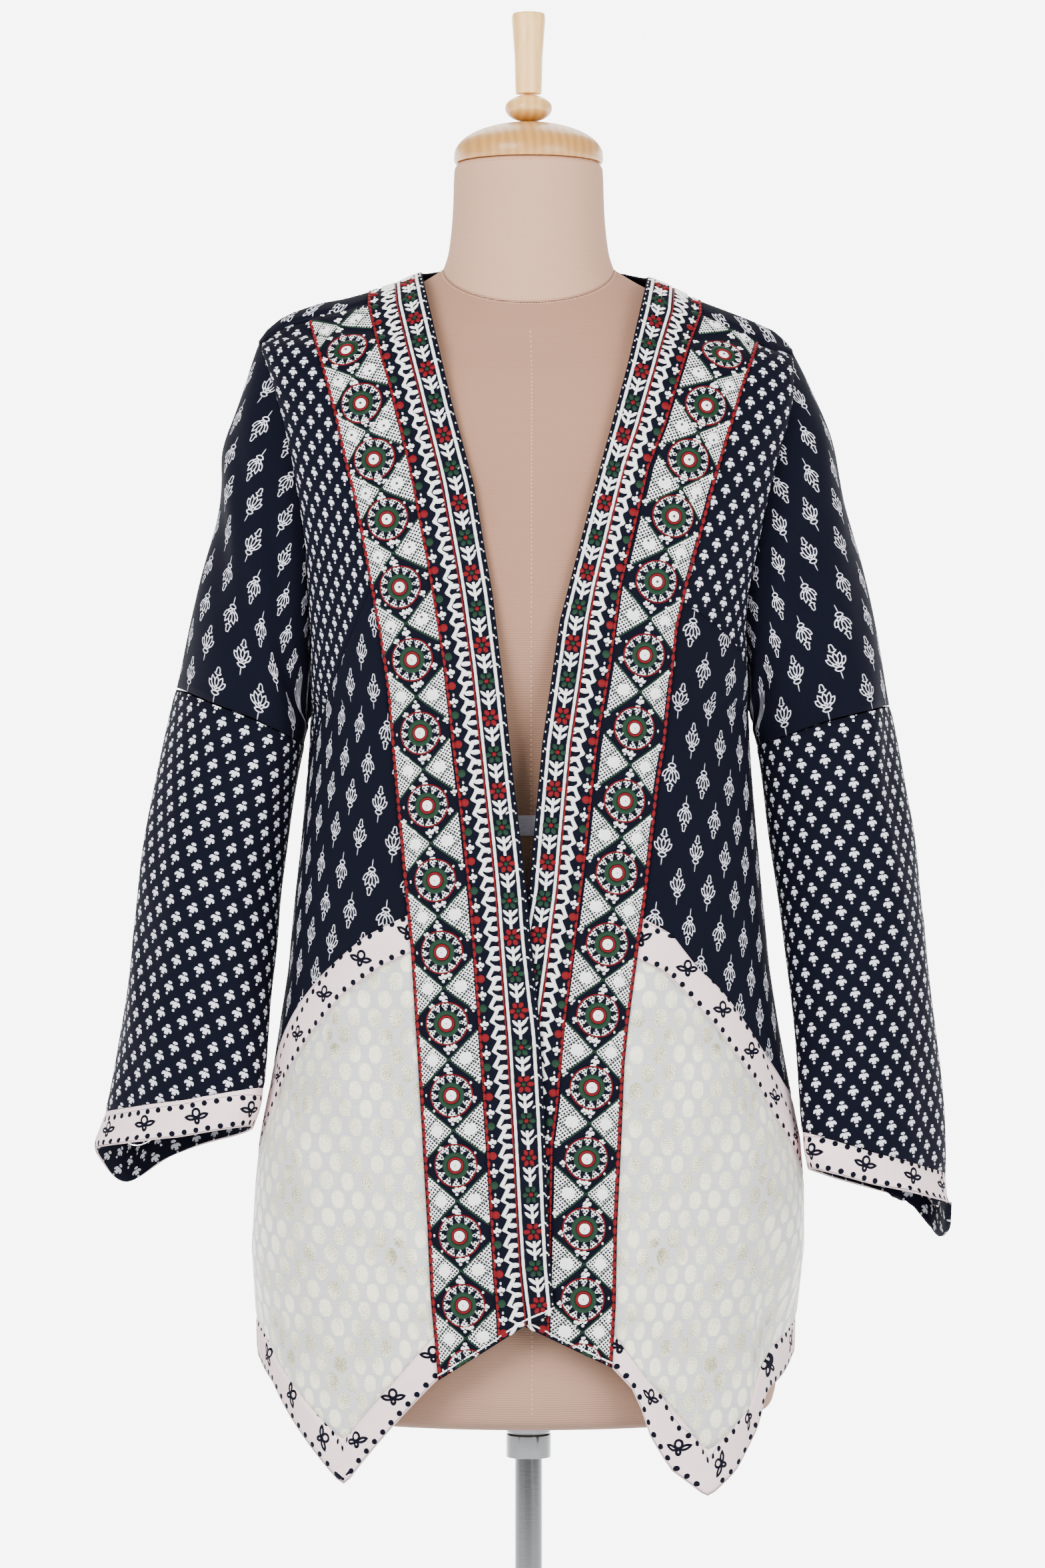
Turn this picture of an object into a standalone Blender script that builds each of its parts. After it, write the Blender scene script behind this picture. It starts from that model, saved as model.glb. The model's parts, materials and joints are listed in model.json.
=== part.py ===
"""Embroidered open-front jacket on a limbless dress form.

World axes: +Z up, the wearer faces -Y, the wearer's left is +X.
The origin is the centre of the round base's underside, on the floor.
Tables are in millimetres and are scaled by MM where points are made.
Each cloth piece is an open surface made solid inwards by CLOTH.
"""
import math

import bmesh
import bpy
from mathutils import Vector

MM = 0.001
CLOTH = 1.5 * MM            # thickness of every cloth piece
SEAM_GAP = 0.8 * MM         # gap between cloth pieces along a seam
ARMHOLE_GAP = 1.0 * MM      # the sleeve starts this far from the armhole edge
WRAP_GAP = 2.0 * MM         # the back stops this far from its seam on the shoulder
SEAT_GAP = 0.3 * MM         # gap between stand pieces that rest on each other

# Stand, in millimetres
BASE_RADIUS = 170.0
BASE_HEIGHT = 12.0
BASE_BEVEL = 2.0
POLE_RADIUS = 9.0
COLLAR_RADIUS = 14.75
COLLAR_BOTTOM = 570.0
FORM_BOTTOM = 600.0
NECK_TOP = 1419.5
CAP_RADIUS = 49.0
CAP_TOP = 1446.7
BALL_RADIUS = 15.5
BALL_TOP = 1464.9
FINIAL_TOP = 1518.6
TAPE_LOW = 979.0
TAPE_HIGH = 992.0
TAPE_LIFT = 0.4

# Body section of the cloth: |x / half width|^n + |y / depth|^n = 1
SECTION_POWER = 2.3
SHOULDER_FALL = 90.0        # height over which the cloth rounds from ridge to chest
ARMHOLE_REACH = 62.0        # how far it reaches forward and back of the side
NECK_BACK_Y = 64.0          # neck edge at the centre back
NECK_BACK_Z = 1362.0
BAND_BACK_Y = 88.0          # outer edge of the flower band at the centre back
BACK_HEM = 640.0
HEM_BAND = 25.0
LAP_OUT = 2.0               # the wearer's right front lies this far out
LAP_IN = 1.5                # and the left front this far in, below the V

FRONT_DEPTH = [  # height, depth in front of the side plane
    (550, 139), (750, 135), (900, 131), (1000, 129), (1100, 127),
    (1150, 122), (1200, 113), (1250, 100), (1300, 86), (1350, 70)]
BACK_DEPTH = [  # height, depth behind the side plane
    (550, 133), (700, 128), (800, 122), (900, 113), (1000, 108),
    (1100, 110), (1200, 112), (1250, 108), (1300, 102), (1360, 90)]

# Form sections: height at the sides, half width, front, back, front drop, back rise
FORM_RINGS = [
    (600, 148, 97, 99, 0, 0), (604, 157, 105, 107, 0, 0),
    (612, 161, 109, 111, 0, 0), (628, 163, 112, 113, 0, 0),
    (680, 164, 113, 117, 0, 0), (740, 165, 113, 117, 0, 0),
    (800, 159, 109, 110, 0, 0), (870, 138, 99, 98, 0, 0),
    (940, 117, 91, 88, 0, 0), (1000, 119, 96, 88, 0, 0),
    (1050, 127, 106, 92, 0, 0), (1100, 133, 117, 97, 0, 0),
    (1150, 137, 117, 101, 0, 0), (1200, 142, 110, 102, 6, 0),
    (1240, 148, 103, 99, 13, 3), (1270, 153, 96, 92, 20, 5),
    (1295, 156, 88, 80, 25, 5), (1306.8, 145.3, 81, 71.3, 26, 5),
    (1314.8, 127.4, 75, 67.4, 26, 5), (1322.8, 108.4, 69, 64.4, 25, 6),
    (1331.5, 90, 64, 64, 25, 7), (1341, 71, 58, 59, 26, 8),
    (1350, 56, 53, 55, 27, 9)]
NECK_RINGS = [
    (1350.3, 56, 53, 55, 27, 9), (1362, 52.5, 50.5, 52, 18, 6),
    (1385, 50, 49, 50, 8, 3), (1412, 49, 48, 48, 0, 0),
    (1417, 48, 47, 47, 0, 0), (1419.5, 46, 45, 45, 0, 0)]

# Tables of each side of the jacket. "right" is the wearer's right, at -X.
# Widths are distances from the centre plane, and shares run from the border to the side.
SIDES = {
    "right": {
        "sign": -1,
        "lap": LAP_OUT,
        "armhole": (1303.0, 1062.5),
        "neck_x": 70.5,
        "band_x": 104.0,
        "side": [
            (560, 176), (660, 178), (710, 181.5), (750, 179.5), (780, 176.5),
            (815, 169.5), (850, 164), (890, 158), (950, 152), (1015, 146),
            (1062.5, 142.5), (1100, 141), (1134.5, 142.5), (1163, 144),
            (1192, 148), (1221, 153), (1246, 159), (1273, 166.5), (1303, 177.5)],
        "ridge": [
            (0, 1361), (53.5, 1357), (67, 1350), (84.6, 1342), (102, 1336),
            (119.6, 1331), (137, 1328), (146, 1325), (155, 1322), (163, 1318),
            (172, 1310.5), (177.5, 1303)],
        "seam_drop": [(100, 10.5), (143, 11), (166, 8.5), (177.5, 6)],
        "edge": [
            (640, -17), (679, -16.4), (708, -13.8), (742, -12.2), (800, -10.1),
            (853, -7.6), (893, -3.8), (953, 2.1), (1016, 9.7), (1068, 15.1),
            (1132, 22.8), (1202, 34.7), (1255, 48.9), (1341, 69), (1348.6, 70.5)],
        "chain": [
            (640, 17.7), (675, 19.3), (708, 21.8), (784, 26), (859, 31.1),
            (935, 36.6), (985, 41.7), (1036, 47.6), (1086, 53.1), (1150, 63.4),
            (1214, 75.9), (1240, 82), (1266, 88.6), (1293, 96.4), (1324, 104)],
        "outer": [
            (636, 57.1), (688, 61.8), (733, 63.9), (783, 66.9), (833, 69.9),
            (906, 74.7), (960, 80.3), (1030, 86.8), (1072, 90.1), (1105, 94.8),
            (1149, 102.9), (1197, 112.1), (1214, 116.9), (1250, 125),
            (1282, 133.8), (1313, 143.3)],
        "edge_bottom": [(-16.4, 679), (2.5, 671), (57, 636)],
        "yoke_low": [(0, 1137), (0.8, 1032), (1, 1012)],
        "arch_top": [
            (0, 929), (0.21, 915), (0.46, 890), (0.69, 864), (0.85, 842), (1, 820)],
        "arch_low": [
            (0, 905), (0.13, 896), (0.32, 877), (0.51, 850), (0.69, 821),
            (0.8, 797), (0.89, 778), (1, 760)],
        "hem_top": [(0, 664), (0.31, 595), (0.72, 653), (0.85, 662), (1, 665)],
        "hem_low": [(0, 637), (0.31, 566), (0.69, 627), (0.85, 638), (1, 640)],
        "sleeve": [  # outer, front, inner and back point of each ring: x, y, z
            ((196.5, 0, 1238), (160, -66, 1150), (143.5, 0, 1057), (160, 66, 1152)),
            ((206.8, 0, 1180), (172, -64, 1115), (145.5, 0, 1051), (172, 64, 1117)),
            ((232.9, 0, 1075), (175.4, -60, 1053), (149, -2, 1038.7), (176, 60, 1056)),
            ((252, 2, 975), (204.5, -58, 962), (159.1, -8, 962), (204.5, 56, 967)),
            ((263.8, 4, 887), (215, -56, 885), (167, -20, 890), (215, 52, 892)),
            ((278.7, 4, 796), (222.2, -56, 808), (172.7, -33, 814), (224, 46, 794)),
            ((285.7, 4, 772), (228.2, -58, 784), (177.9, -35, 789), (230, 46, 770))],
        "cuff_dip": (311, 30, 20),
    },
    "left": {
        "sign": 1,
        "lap": -LAP_IN,
        "armhole": (1298.0, 1062.0),
        "neck_x": 78.5,
        "band_x": 112.0,
        "side": [
            (560, 173), (660, 174.5), (710, 180.5), (750, 180.5), (780, 178),
            (815, 171), (850, 165), (890, 159), (950, 153), (1015, 147),
            (1062, 144), (1083, 142.5), (1110, 140.5), (1134.5, 142), (1165, 148),
            (1182, 151.5), (1204, 156.5), (1222, 161), (1242, 167), (1260, 171.5),
            (1275, 172.5), (1298, 173)],
        "ridge": [
            (0, 1361), (55, 1356), (64, 1351), (73, 1347.7), (91, 1340),
            (108, 1331), (126, 1324.4), (143, 1318), (152, 1314), (161, 1310),
            (169.6, 1302.5), (173, 1298)],
        "seam_drop": [(108, 11), (149, 15), (160, 16), (169, 9), (173, 6)],
        "edge": [
            (640, -26), (670, -25.6), (729, -23.5), (786, -21), (817, -19.3),
            (853, -13.9), (900, -7.1), (927, -3.8), (947, 0), (1038, 8.4),
            (1115, 19.4), (1198, 41), (1280, 63.1), (1342, 77.5), (1345.7, 78.5)],
        "chain": [
            (640, 12), (670, 12.2), (784, 14.3), (809, 17.6), (859, 21.9),
            (909, 28.2), (960, 34.5), (1036, 42.5), (1086, 51), (1137, 57.8),
            (1214, 75.9), (1240, 86.2), (1293, 102.4), (1319, 112)],
        "outer": [
            (644, 52.5), (683, 54.6), (733, 55.5), (783, 58), (834, 60.2),
            (859, 62.7), (909, 69.6), (934, 73.8), (1010, 82.4), (1036, 86.8),
            (1086, 92.2), (1112, 94.8), (1137, 100.8), (1214, 122),
            (1267, 138.2), (1300, 150.3)],
        "edge_bottom": [(-25.6, 682), (-2.3, 670), (52.5, 644)],
        "yoke_low": [(0, 1127), (1, 1084)],
        "arch_top": [
            (0, 927), (0.13, 917), (0.25, 897), (0.38, 881), (0.53, 859),
            (0.67, 836), (0.81, 818), (1, 803)],
        "arch_low": [
            (0, 901), (0.12, 892), (0.23, 875), (0.35, 857), (0.43, 842),
            (0.56, 820), (0.65, 797), (0.76, 778), (1, 748)],
        "hem_top": [
            (0, 665), (0.1, 637), (0.31, 588), (0.5, 613), (0.55, 636),
            (0.64, 652), (0.85, 662), (1, 665)],
        "hem_low": [
            (0, 644), (0.07, 627), (0.11, 600), (0.18, 578), (0.31, 559),
            (0.44, 575), (0.56, 602), (0.6, 622), (0.85, 640), (1, 642)],
        "sleeve": [
            ((199.5, 0, 1238), (162, -66, 1150), (145, 0, 1057), (162, 66, 1152)),
            ((213, 0, 1180), (175, -64, 1115), (147, 0, 1050), (175, 64, 1117)),
            ((236.6, 0, 1063), (194.4, -60, 1053), (149.5, -2, 1037), (194, 60, 1056)),
            ((252.8, 2, 975), (207, -58, 965), (161.3, -8, 957.7), (207, 56, 967)),
            ((266, 4, 888), (218, -56, 880), (170.9, -22, 874.4), (218, 52, 884)),
            ((275.6, 4, 756), (222.6, -56, 774), (178, -35, 785.5), (226, 46, 762)),
            ((279.1, 4, 736), (226.1, -58, 753), (181.5, -38, 762.2), (229, 46, 742))],
        "cuff_dip": (335, 28, 22),
    },
}
SLEEVE_SEAM_RING = 3        # ring where the sleeve's two prints meet
CUFF_RING = 6               # ring where the cuff band starts
SLEEVE_COLUMNS = 20
PANEL_SHARES = (1 / 3, 2 / 3, 1)        # columns that the medallion panel and the
YOKE_SHARES = (0.31, 0.58, 0.85, 1)     # yoke share with the back at the shoulder
NECK_STEPS = 6              # steps of the flower band from the shoulder to the back
FRONT_COLUMNS = [0, 0.11, 0.21, 0.31, 0.42, 0.5, 0.58, 0.66, 0.75, 0.85, 0.93, 1]

# Material: colour (linear), roughness, metallic
MATERIALS = {
    "lotus_print": ((0.011, 0.013, 0.042), 0.85, 0.0),
    "flower_print": ((0.018, 0.020, 0.052), 0.85, 0.0),
    "embroidered_border": ((0.12, 0.09, 0.10), 0.8, 0.0),
    "pink_band": ((0.87, 0.72, 0.70), 0.8, 0.0),
    "cream_brocade": ((0.78, 0.77, 0.73), 0.7, 0.0),
    "form_knit": ((0.57, 0.40, 0.34), 0.9, 0.0),
    "neck_knit": ((0.72, 0.58, 0.50), 0.9, 0.0),
    "waist_tape": ((0.30, 0.30, 0.34), 0.8, 0.0),
    "pale_wood": ((0.62, 0.45, 0.27), 0.5, 0.0),
    "polished_steel": ((0.6, 0.6, 0.6), 0.25, 1.0),
    "base_steel": ((0.55, 0.55, 0.56), 0.35, 1.0),
}


def read(table, key):
    """Straight-line value of a two-column table at a key."""
    if key <= table[0][0]:
        return table[0][1]
    for (low, a), (high, b) in zip(table, table[1:]):
        if key <= high:
            return a + (b - a) * (key - low) / (high - low)
    return table[-1][1]


def smooth(value):
    """Smooth step from 0 at 0 to 1 at 1."""
    value = min(max(value, 0.0), 1.0)
    return value * value * (3.0 - 2.0 * value)


def quarter_rise(drop):
    """0 at the ridge, 1 once the cloth has fallen SHOULDER_FALL below it."""
    t = min(max(drop / SHOULDER_FALL, 0.0), 1.0)
    return math.sqrt(1.0 - (1.0 - t) ** 2)


def armhole_depth(side, z):
    """Half the armhole's depth at a height, 0 above and below it."""
    top, low = side["armhole"]
    t = (2.0 * z - top - low) / (top - low)
    return ARMHOLE_REACH * math.sqrt(max(0.0, 1.0 - t * t))


def profile(side, u, z):
    """Depth of the section at u, as a share of its depth at the centre."""
    q = min(abs(u) / read(side["side"], z), 1.0)
    return (1.0 - q ** SECTION_POWER) ** (1.0 / SECTION_POWER)


def point(side, u, y, z):
    return Vector((side["sign"] * u * MM, y * MM, z * MM))


def front_y(side, u, z):
    """Front surface of the jacket over (u, z); u is the distance from centre."""
    reach = armhole_depth(side, z)
    rise = quarter_rise(read(side["ridge"], abs(u)) - z)
    lap = side["lap"] * smooth((1000.0 - z) / 42.0) * smooth((45.0 - u) / 30.0)
    depth = read(FRONT_DEPTH, z) - reach
    return -(reach + depth * profile(side, u, z) * rise) - lap


def neck_edge(side, u):
    """Top of the back at u: its y and z on the neck edge or on the ridge."""
    if abs(u) >= side["neck_x"]:
        return 0.0, read(side["ridge"], abs(u))
    t = abs(u) / side["neck_x"]
    low = read(side["ridge"], side["neck_x"])
    return NECK_BACK_Y * math.sqrt(1.0 - t * t), NECK_BACK_Z + (low - NECK_BACK_Z) * t * t


def back_y(side, u, z):
    """Back surface of the jacket over (u, z)."""
    reach = armhole_depth(side, z)
    top_y, top_z = neck_edge(side, u)
    full = (read(BACK_DEPTH, z) - reach) * profile(side, u, z)
    return reach + top_y + (full - top_y) * quarter_rise(top_z - z)


def back_z(side, u, y):
    """Height at which the back surface passes over (u, y)."""
    low, high = neck_edge(side, u)[1] - SHOULDER_FALL, neck_edge(side, u)[1]
    for _ in range(40):
        middle = (low + high) / 2.0
        if back_y(side, u, middle) > y:
            low = middle
        else:
            high = middle
    return (low + high) / 2.0


def section_angle(side, u, z):
    """Angle round the section at which it passes u."""
    q = min(abs(u) / read(side["side"], z), 1.0)
    return math.copysign(math.asin(q ** (SECTION_POWER / 2.0)), u)


def section_u(side, angle, z):
    s = math.sin(angle)
    return math.copysign(read(side["side"], z) * abs(s) ** (2.0 / SECTION_POWER), s)


def line_of(side, name):
    """A side line of the front as a function of height."""
    return lambda z: read(side[name], z)


def front_u(side, low, high, s, z):
    """u at share s of the way round from line low to line high, at a height."""
    a = section_angle(side, low(z), z)
    b = section_angle(side, high(z), z)
    return section_u(side, a + (b - a) * s, z)


def seam_height(side, u):
    """Height of the shoulder seam, which lies just in front of the ridge."""
    return read(side["ridge"], abs(u)) - read(side["seam_drop"], abs(u))


def meet(height_at, start):
    """Height at which a column meets a line that is given over u."""
    z = start
    for _ in range(40):
        z = 0.5 * z + 0.5 * height_at(z)
    return z


def row_shares(side, high, low, step):
    """Shares down a column at the side, so that rows meet the sleeve's points."""
    top, under = side["armhole"]
    levels = [high]
    for i in range(1, SLEEVE_COLUMNS // 2 + 1):
        z = armhole_point(side, 2.0 * math.pi * i / SLEEVE_COLUMNS).z / MM
        if low + 2.0 < z < high - 2.0:
            levels.append(z)
    rest = levels[-1] - low
    count = max(1, round(rest / step)) if levels[-1] <= under + 1.0 else 1
    levels += [levels[-1] - rest * (i + 1) / count for i in range(count)]
    return [(high - z) / (high - low) for z in levels]


def front_rows(side, low, high, columns, top, bottom, parts):
    """Rows of points on the front between two side lines and two cross lines."""
    rows = []
    for t in parts:
        row = []
        for s in columns:
            z_top, z_low = top(s), bottom(s)
            z = z_top + (z_low - z_top) * t
            u = front_u(side, low, high, s, z)
            row.append(point(side, u, front_y(side, u, z), z))
        rows.append(row)
    return rows


def shares(count):
    return [i / count for i in range(count + 1)]


def trim(rows, gap, closed=False, joined=()):
    """Draw the rim of a grid of points in by half a seam gap.

    joined lists the columns whose first point is shared with another grid.
    """
    def towards(a, b, distance):
        step = b - a
        return a + step.normalized() * distance if step.length > distance else a

    def drawn_in(line, inner):
        moved = []
        for i, (a, b) in enumerate(zip(line, inner)):
            along = line[min(i + 1, len(line) - 1)] - line[max(i - 1, 0)]
            slant = max((b - a).normalized().cross(along.normalized()).length, 0.35)
            moved.append(towards(a, b, gap / slant))
        return moved

    rows = [list(row) for row in rows]
    first, last = drawn_in(rows[0], rows[1]), drawn_in(rows[-1], rows[-2])
    rows[0] = [a if i in joined else b for i, (a, b) in enumerate(zip(rows[0], first))]
    rows[-1] = last
    if not closed:
        for row in rows:
            row[0], row[-1] = towards(row[0], row[1], gap), towards(row[-1], row[-2], gap)
    return rows


def make_material(name):
    colour, roughness, metallic = MATERIALS[name]
    material = bpy.data.materials.get(name)
    if material is None:
        material = bpy.data.materials.new(name)
        material.use_nodes = True
        shader = material.node_tree.nodes["Principled BSDF"]
        shader.inputs["Base Color"].default_value = (*colour, 1.0)
        shader.inputs["Roughness"].default_value = roughness
        shader.inputs["Metallic"].default_value = metallic
    return material


def add_object(name, mesh, material):
    mesh.materials.append(make_material(material))
    mesh.shade_smooth()
    item = bpy.data.objects.new(name, mesh)
    part_collection.objects.link(item)
    return item


def add_faces(bm, rows, closed):
    """Quads between neighbouring rows of points; returns the new vertices."""
    grid = [[bm.verts.new(p) for p in row] for row in rows]
    width = len(rows[0])
    for upper, lower in zip(grid, grid[1:]):
        for i in range(width if closed else width - 1):
            k = (i + 1) % width
            bm.faces.new((upper[i], upper[k], lower[k], lower[i]))
    return grid


def face_out(bm, middle):
    """Turn all faces so that they look away from the middle line."""
    bm.normal_update()
    total = sum(
        f.normal.dot(f.calc_center_median() - middle(f.calc_center_median())) * f.calc_area()
        for f in bm.faces)
    if total < 0:
        bmesh.ops.reverse_faces(bm, faces=bm.faces)


def body_middle(p):
    return Vector((0.0, 0.0, p.z))


def cloth_piece(name, grids, material, middle=body_middle, closed=False):
    """A cloth piece: one or more joined grids, made solid inwards."""
    bm = bmesh.new()
    for rows in grids:
        add_faces(bm, rows, closed)
    bmesh.ops.remove_doubles(bm, verts=bm.verts, dist=0.05 * MM)
    bmesh.ops.recalc_face_normals(bm, faces=bm.faces)
    face_out(bm, middle)
    mesh = bpy.data.meshes.new(name)
    bm.to_mesh(mesh)
    bm.free()
    item = add_object(name, mesh, material)
    thicken = item.modifiers.new("cloth", "SOLIDIFY")
    thicken.thickness = CLOTH
    thicken.offset = -1.0
    thicken.use_even_offset = True
    return item


def loft_solid(name, rings, material):
    """A closed solid through rings of points, capped at both ends."""
    bm = bmesh.new()
    grid = add_faces(bm, rings, closed=True)
    for ring in (grid[0], grid[-1]):
        centre = bm.verts.new(sum((v.co for v in ring), Vector()) / len(ring))
        for a, b in zip(ring, ring[1:] + ring[:1]):
            bm.faces.new((centre, a, b))
    bmesh.ops.recalc_face_normals(bm, faces=bm.faces)
    mesh = bpy.data.meshes.new(name)
    bm.to_mesh(mesh)
    bm.free()
    item = add_object(name, mesh, material)
    return item


def form_ring(row, columns=28, grow=0.0):
    """One section of the form as an ellipse whose front drops and back rises."""
    height, half, front, back, drop, rise = row
    ring = []
    for i in range(columns):
        angle = 2.0 * math.pi * i / columns
        c, s = math.cos(angle), math.sin(angle)
        depth, lift = (back, rise) if s > 0 else (front, drop)
        ring.append(Vector((
            (half + grow) * c * MM, (depth + grow) * s * MM, (height + lift * s) * MM)))
    return ring


def form_row_at(height):
    """A form section worked out between two rows of the table."""
    return tuple(
        read([(row[0], row[i]) for row in FORM_RINGS], height) for i in range(6))


def turned(name, outline, material, segments=32):
    """A turned solid from an outline of (radius, height) that runs top to bottom."""
    mesh = bpy.data.meshes.new(name)
    points = [(r * MM, 0.0, z * MM) for r, z in outline]
    edges = [(i, i + 1) for i in range(len(points) - 1)]
    mesh.from_pydata(points, edges, [])
    item = add_object(name, mesh, material)
    screw = item.modifiers.new("turn", "SCREW")
    screw.axis = "Z"
    screw.steps = segments
    screw.render_steps = segments
    screw.use_merge_vertices = True
    screw.merge_threshold = 0.0001
    return item


def build_stand():
    gap = SEAT_GAP / MM
    turned("base", [
        (0, BASE_HEIGHT), (BASE_RADIUS - BASE_BEVEL, BASE_HEIGHT),
        (BASE_RADIUS, BASE_HEIGHT - BASE_BEVEL), (BASE_RADIUS, 0), (0, 0)],
        "base_steel", segments=48)
    turned("pole", [
        (0, COLLAR_BOTTOM - gap), (POLE_RADIUS, COLLAR_BOTTOM - gap),
        (POLE_RADIUS, BASE_HEIGHT + gap), (0, BASE_HEIGHT + gap)], "polished_steel", segments=24)
    turned("pole_collar", [
        (0, FORM_BOTTOM - gap), (COLLAR_RADIUS, FORM_BOTTOM - gap),
        (COLLAR_RADIUS, COLLAR_BOTTOM), (0, COLLAR_BOTTOM)], "polished_steel", segments=24)


def build_form():
    gap = SEAT_GAP / MM
    loft_solid("form_torso", [form_ring(row) for row in FORM_RINGS], "form_knit")
    loft_solid("form_neck", [form_ring(row) for row in NECK_RINGS], "neck_knit")
    arc = [math.radians(a) for a in (78, 66, 54, 42, 30, 15)]
    dome = CAP_TOP - NECK_TOP - gap - 5.0
    turned("neck_cap", [(0, CAP_TOP)] + [
        (CAP_RADIUS * math.cos(a), NECK_TOP + gap + 5.0 + dome * math.sin(a)) for a in arc] + [
        (CAP_RADIUS, NECK_TOP + gap + 5.0), (CAP_RADIUS - 1.0, NECK_TOP + gap),
        (0, NECK_TOP + gap)], "pale_wood", segments=32)
    ball_low = CAP_TOP + gap
    middle, half = (BALL_TOP + ball_low) / 2, (BALL_TOP - ball_low) / 2
    turned("cap_ball", [(0, BALL_TOP)] + [
        (BALL_RADIUS * math.cos(math.radians(a)), middle + half * math.sin(math.radians(a)))
        for a in (65, 40, 20, 0, -20, -40, -65)] + [(0, ball_low)], "pale_wood", segments=24)
    turned("cap_finial", [
        (0, FINIAL_TOP), (10.0, FINIAL_TOP), (11.0, FINIAL_TOP - 2.0),
        (8.6, BALL_TOP + gap), (0, BALL_TOP + gap)], "pale_wood", segments=24)


def build_tape():
    """The waist tape: a thin closed band round the form."""
    inner = [form_ring(form_row_at(z), grow=TAPE_LIFT) for z in (TAPE_HIGH, TAPE_LOW)]
    outer = [form_ring(form_row_at(z), grow=TAPE_LIFT + 0.8) for z in (TAPE_LOW, TAPE_HIGH)]
    bm = bmesh.new()
    add_faces(bm, inner + outer + [inner[0]], closed=True)
    bmesh.ops.remove_doubles(bm, verts=bm.verts, dist=0.02 * MM)
    bmesh.ops.recalc_face_normals(bm, faces=bm.faces)
    mesh = bpy.data.meshes.new("waist_tape")
    bm.to_mesh(mesh)
    bm.free()
    add_object("waist_tape", mesh, "waist_tape")


def build_flower_band(name, side):
    """The inner border: up the front, over the shoulder, round the back neck."""
    edge, chain = line_of(side, "edge"), line_of(side, "chain")
    columns = shares(2)
    ridge = [meet(lambda z, s=s: read(side["ridge"], abs(front_u(side, edge, chain, s, z))),
                  1340.0) for s in columns]
    bottom = [meet(lambda z, s=s: read(side["edge_bottom"], front_u(side, edge, chain, s, z)),
                   670.0) for s in columns]
    rows = []
    for t in reversed(border_shares(32)):
        row = []
        for i, s in enumerate(columns):
            z = ridge[i] + (bottom[i] - ridge[i]) * t
            u = front_u(side, edge, chain, s, z)
            row.append(point(side, u, front_y(side, u, z) if t > 0 else 0.0, z))
        rows.append(row)
    for j in range(1, NECK_STEPS + 1):
        angle = math.pi / 2.0 * j / NECK_STEPS
        row = []
        for s in columns:
            u = (side["neck_x"] + (side["band_x"] - side["neck_x"]) * s) * math.cos(angle)
            y = (NECK_BACK_Y + (BAND_BACK_Y - NECK_BACK_Y) * s) * math.sin(angle)
            z = back_z(side, u, y) if s > 0 else neck_edge(side, u)[1]
            row.append(point(side, u, y, z))
        rows.append(row)
    cloth_piece("flower_band_" + name, [trim(rows, SEAM_GAP / 2)], "embroidered_border")


def border_shares(count):
    """Shares down the border, closer together on the rounded chest."""
    return [t ** 1.25 for t in shares(count)]


def build_medallion_panel(name, side):
    """The outer border, with the round motifs, from shoulder seam to hem."""
    chain, outer = line_of(side, "chain"), line_of(side, "outer")

    def top(s):
        return meet(lambda z: seam_height(side, front_u(side, chain, outer, s, z)), 1310.0)

    def bottom(s):
        return meet(
            lambda z: read(side["edge_bottom"], front_u(side, chain, outer, s, z)), 650.0)

    rows = front_rows(side, chain, outer, shares(3), top, bottom, border_shares(34))
    cloth_piece("medallion_panel_" + name, [trim(rows, SEAM_GAP / 2)], "embroidered_border")


def build_front_panels(name, side):
    """The five front pieces between the border and the side."""
    outer, side_line = line_of(side, "outer"), line_of(side, "side")

    def seam(s):
        return meet(lambda z: seam_height(side, front_u(side, outer, side_line, s, z)), 1305.0)

    def line(key):
        return lambda s: read(side[key], s)

    pieces = [  # name, material, top line, bottom line, row height at the side
        ("yoke", "flower_print", seam, line("yoke_low"), 25),
        ("front", "lotus_print", line("yoke_low"), line("arch_top"), 22),
        ("arch_band", "pink_band", line("arch_top"), line("arch_low"), 30),
        ("skirt", "cream_brocade", line("arch_low"), line("hem_top"), 12),
        ("hem_band", "pink_band", line("hem_top"), line("hem_low"), 12),
    ]
    for piece, material, top, bottom, step in pieces:
        parts = row_shares(side, top(1), bottom(1), step)
        rows = front_rows(side, outer, side_line, FRONT_COLUMNS, top, bottom, parts)
        cloth_piece(piece + "_" + name, [trim(rows, SEAM_GAP / 2)], material)


def back_columns(side):
    """Angles of the back's columns: under the flower band's points, then outwards."""
    inner = []
    for j in range(NECK_STEPS, 0, -1):
        angle = math.pi / 2.0 * j / NECK_STEPS
        u, y = side["band_x"] * math.cos(angle), BAND_BACK_Y * math.sin(angle)
        inner.append(section_angle(side, u, back_z(side, u, y)))
    corner = side["band_x"] + SEAM_GAP / MM / 2
    turn = section_angle(side, corner, read(side["ridge"], corner))
    outer = [turn]
    for low, high, parts in (("chain", "outer", PANEL_SHARES), ("outer", "side", YOKE_SHARES)):
        for s in parts:
            def at(z, s=s, low=low, high=high):
                return front_u(side, line_of(side, low), line_of(side, high), s, z)
            z = meet(lambda z: seam_height(side, at(z)), 1310.0)
            outer.append(section_angle(side, at(z), z))
    return inner, outer


def back_top(side, angle):
    """Top of a back column: the band's outer edge, or the ridge outside it."""
    def height(z):
        u = section_u(side, angle, z)
        if u >= side["band_x"] - 0.01:
            return read(side["ridge"], u)
        y = BAND_BACK_Y * math.sqrt(1.0 - (u / side["band_x"]) ** 2)
        return back_z(side, u, y)
    return meet(height, 1335.0)


def back_rows(side, angles, low, parts, top=None):
    rows = []
    tops = [top if top is not None else back_top(side, a) for a in angles]
    for t in parts:
        row = []
        for a, z_top in zip(angles, tops):
            z = z_top + (low - z_top) * t
            u = section_u(side, a, z)
            row.append(point(side, u, back_y(side, u, z), z))
        rows.append(row)
    return rows


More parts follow.
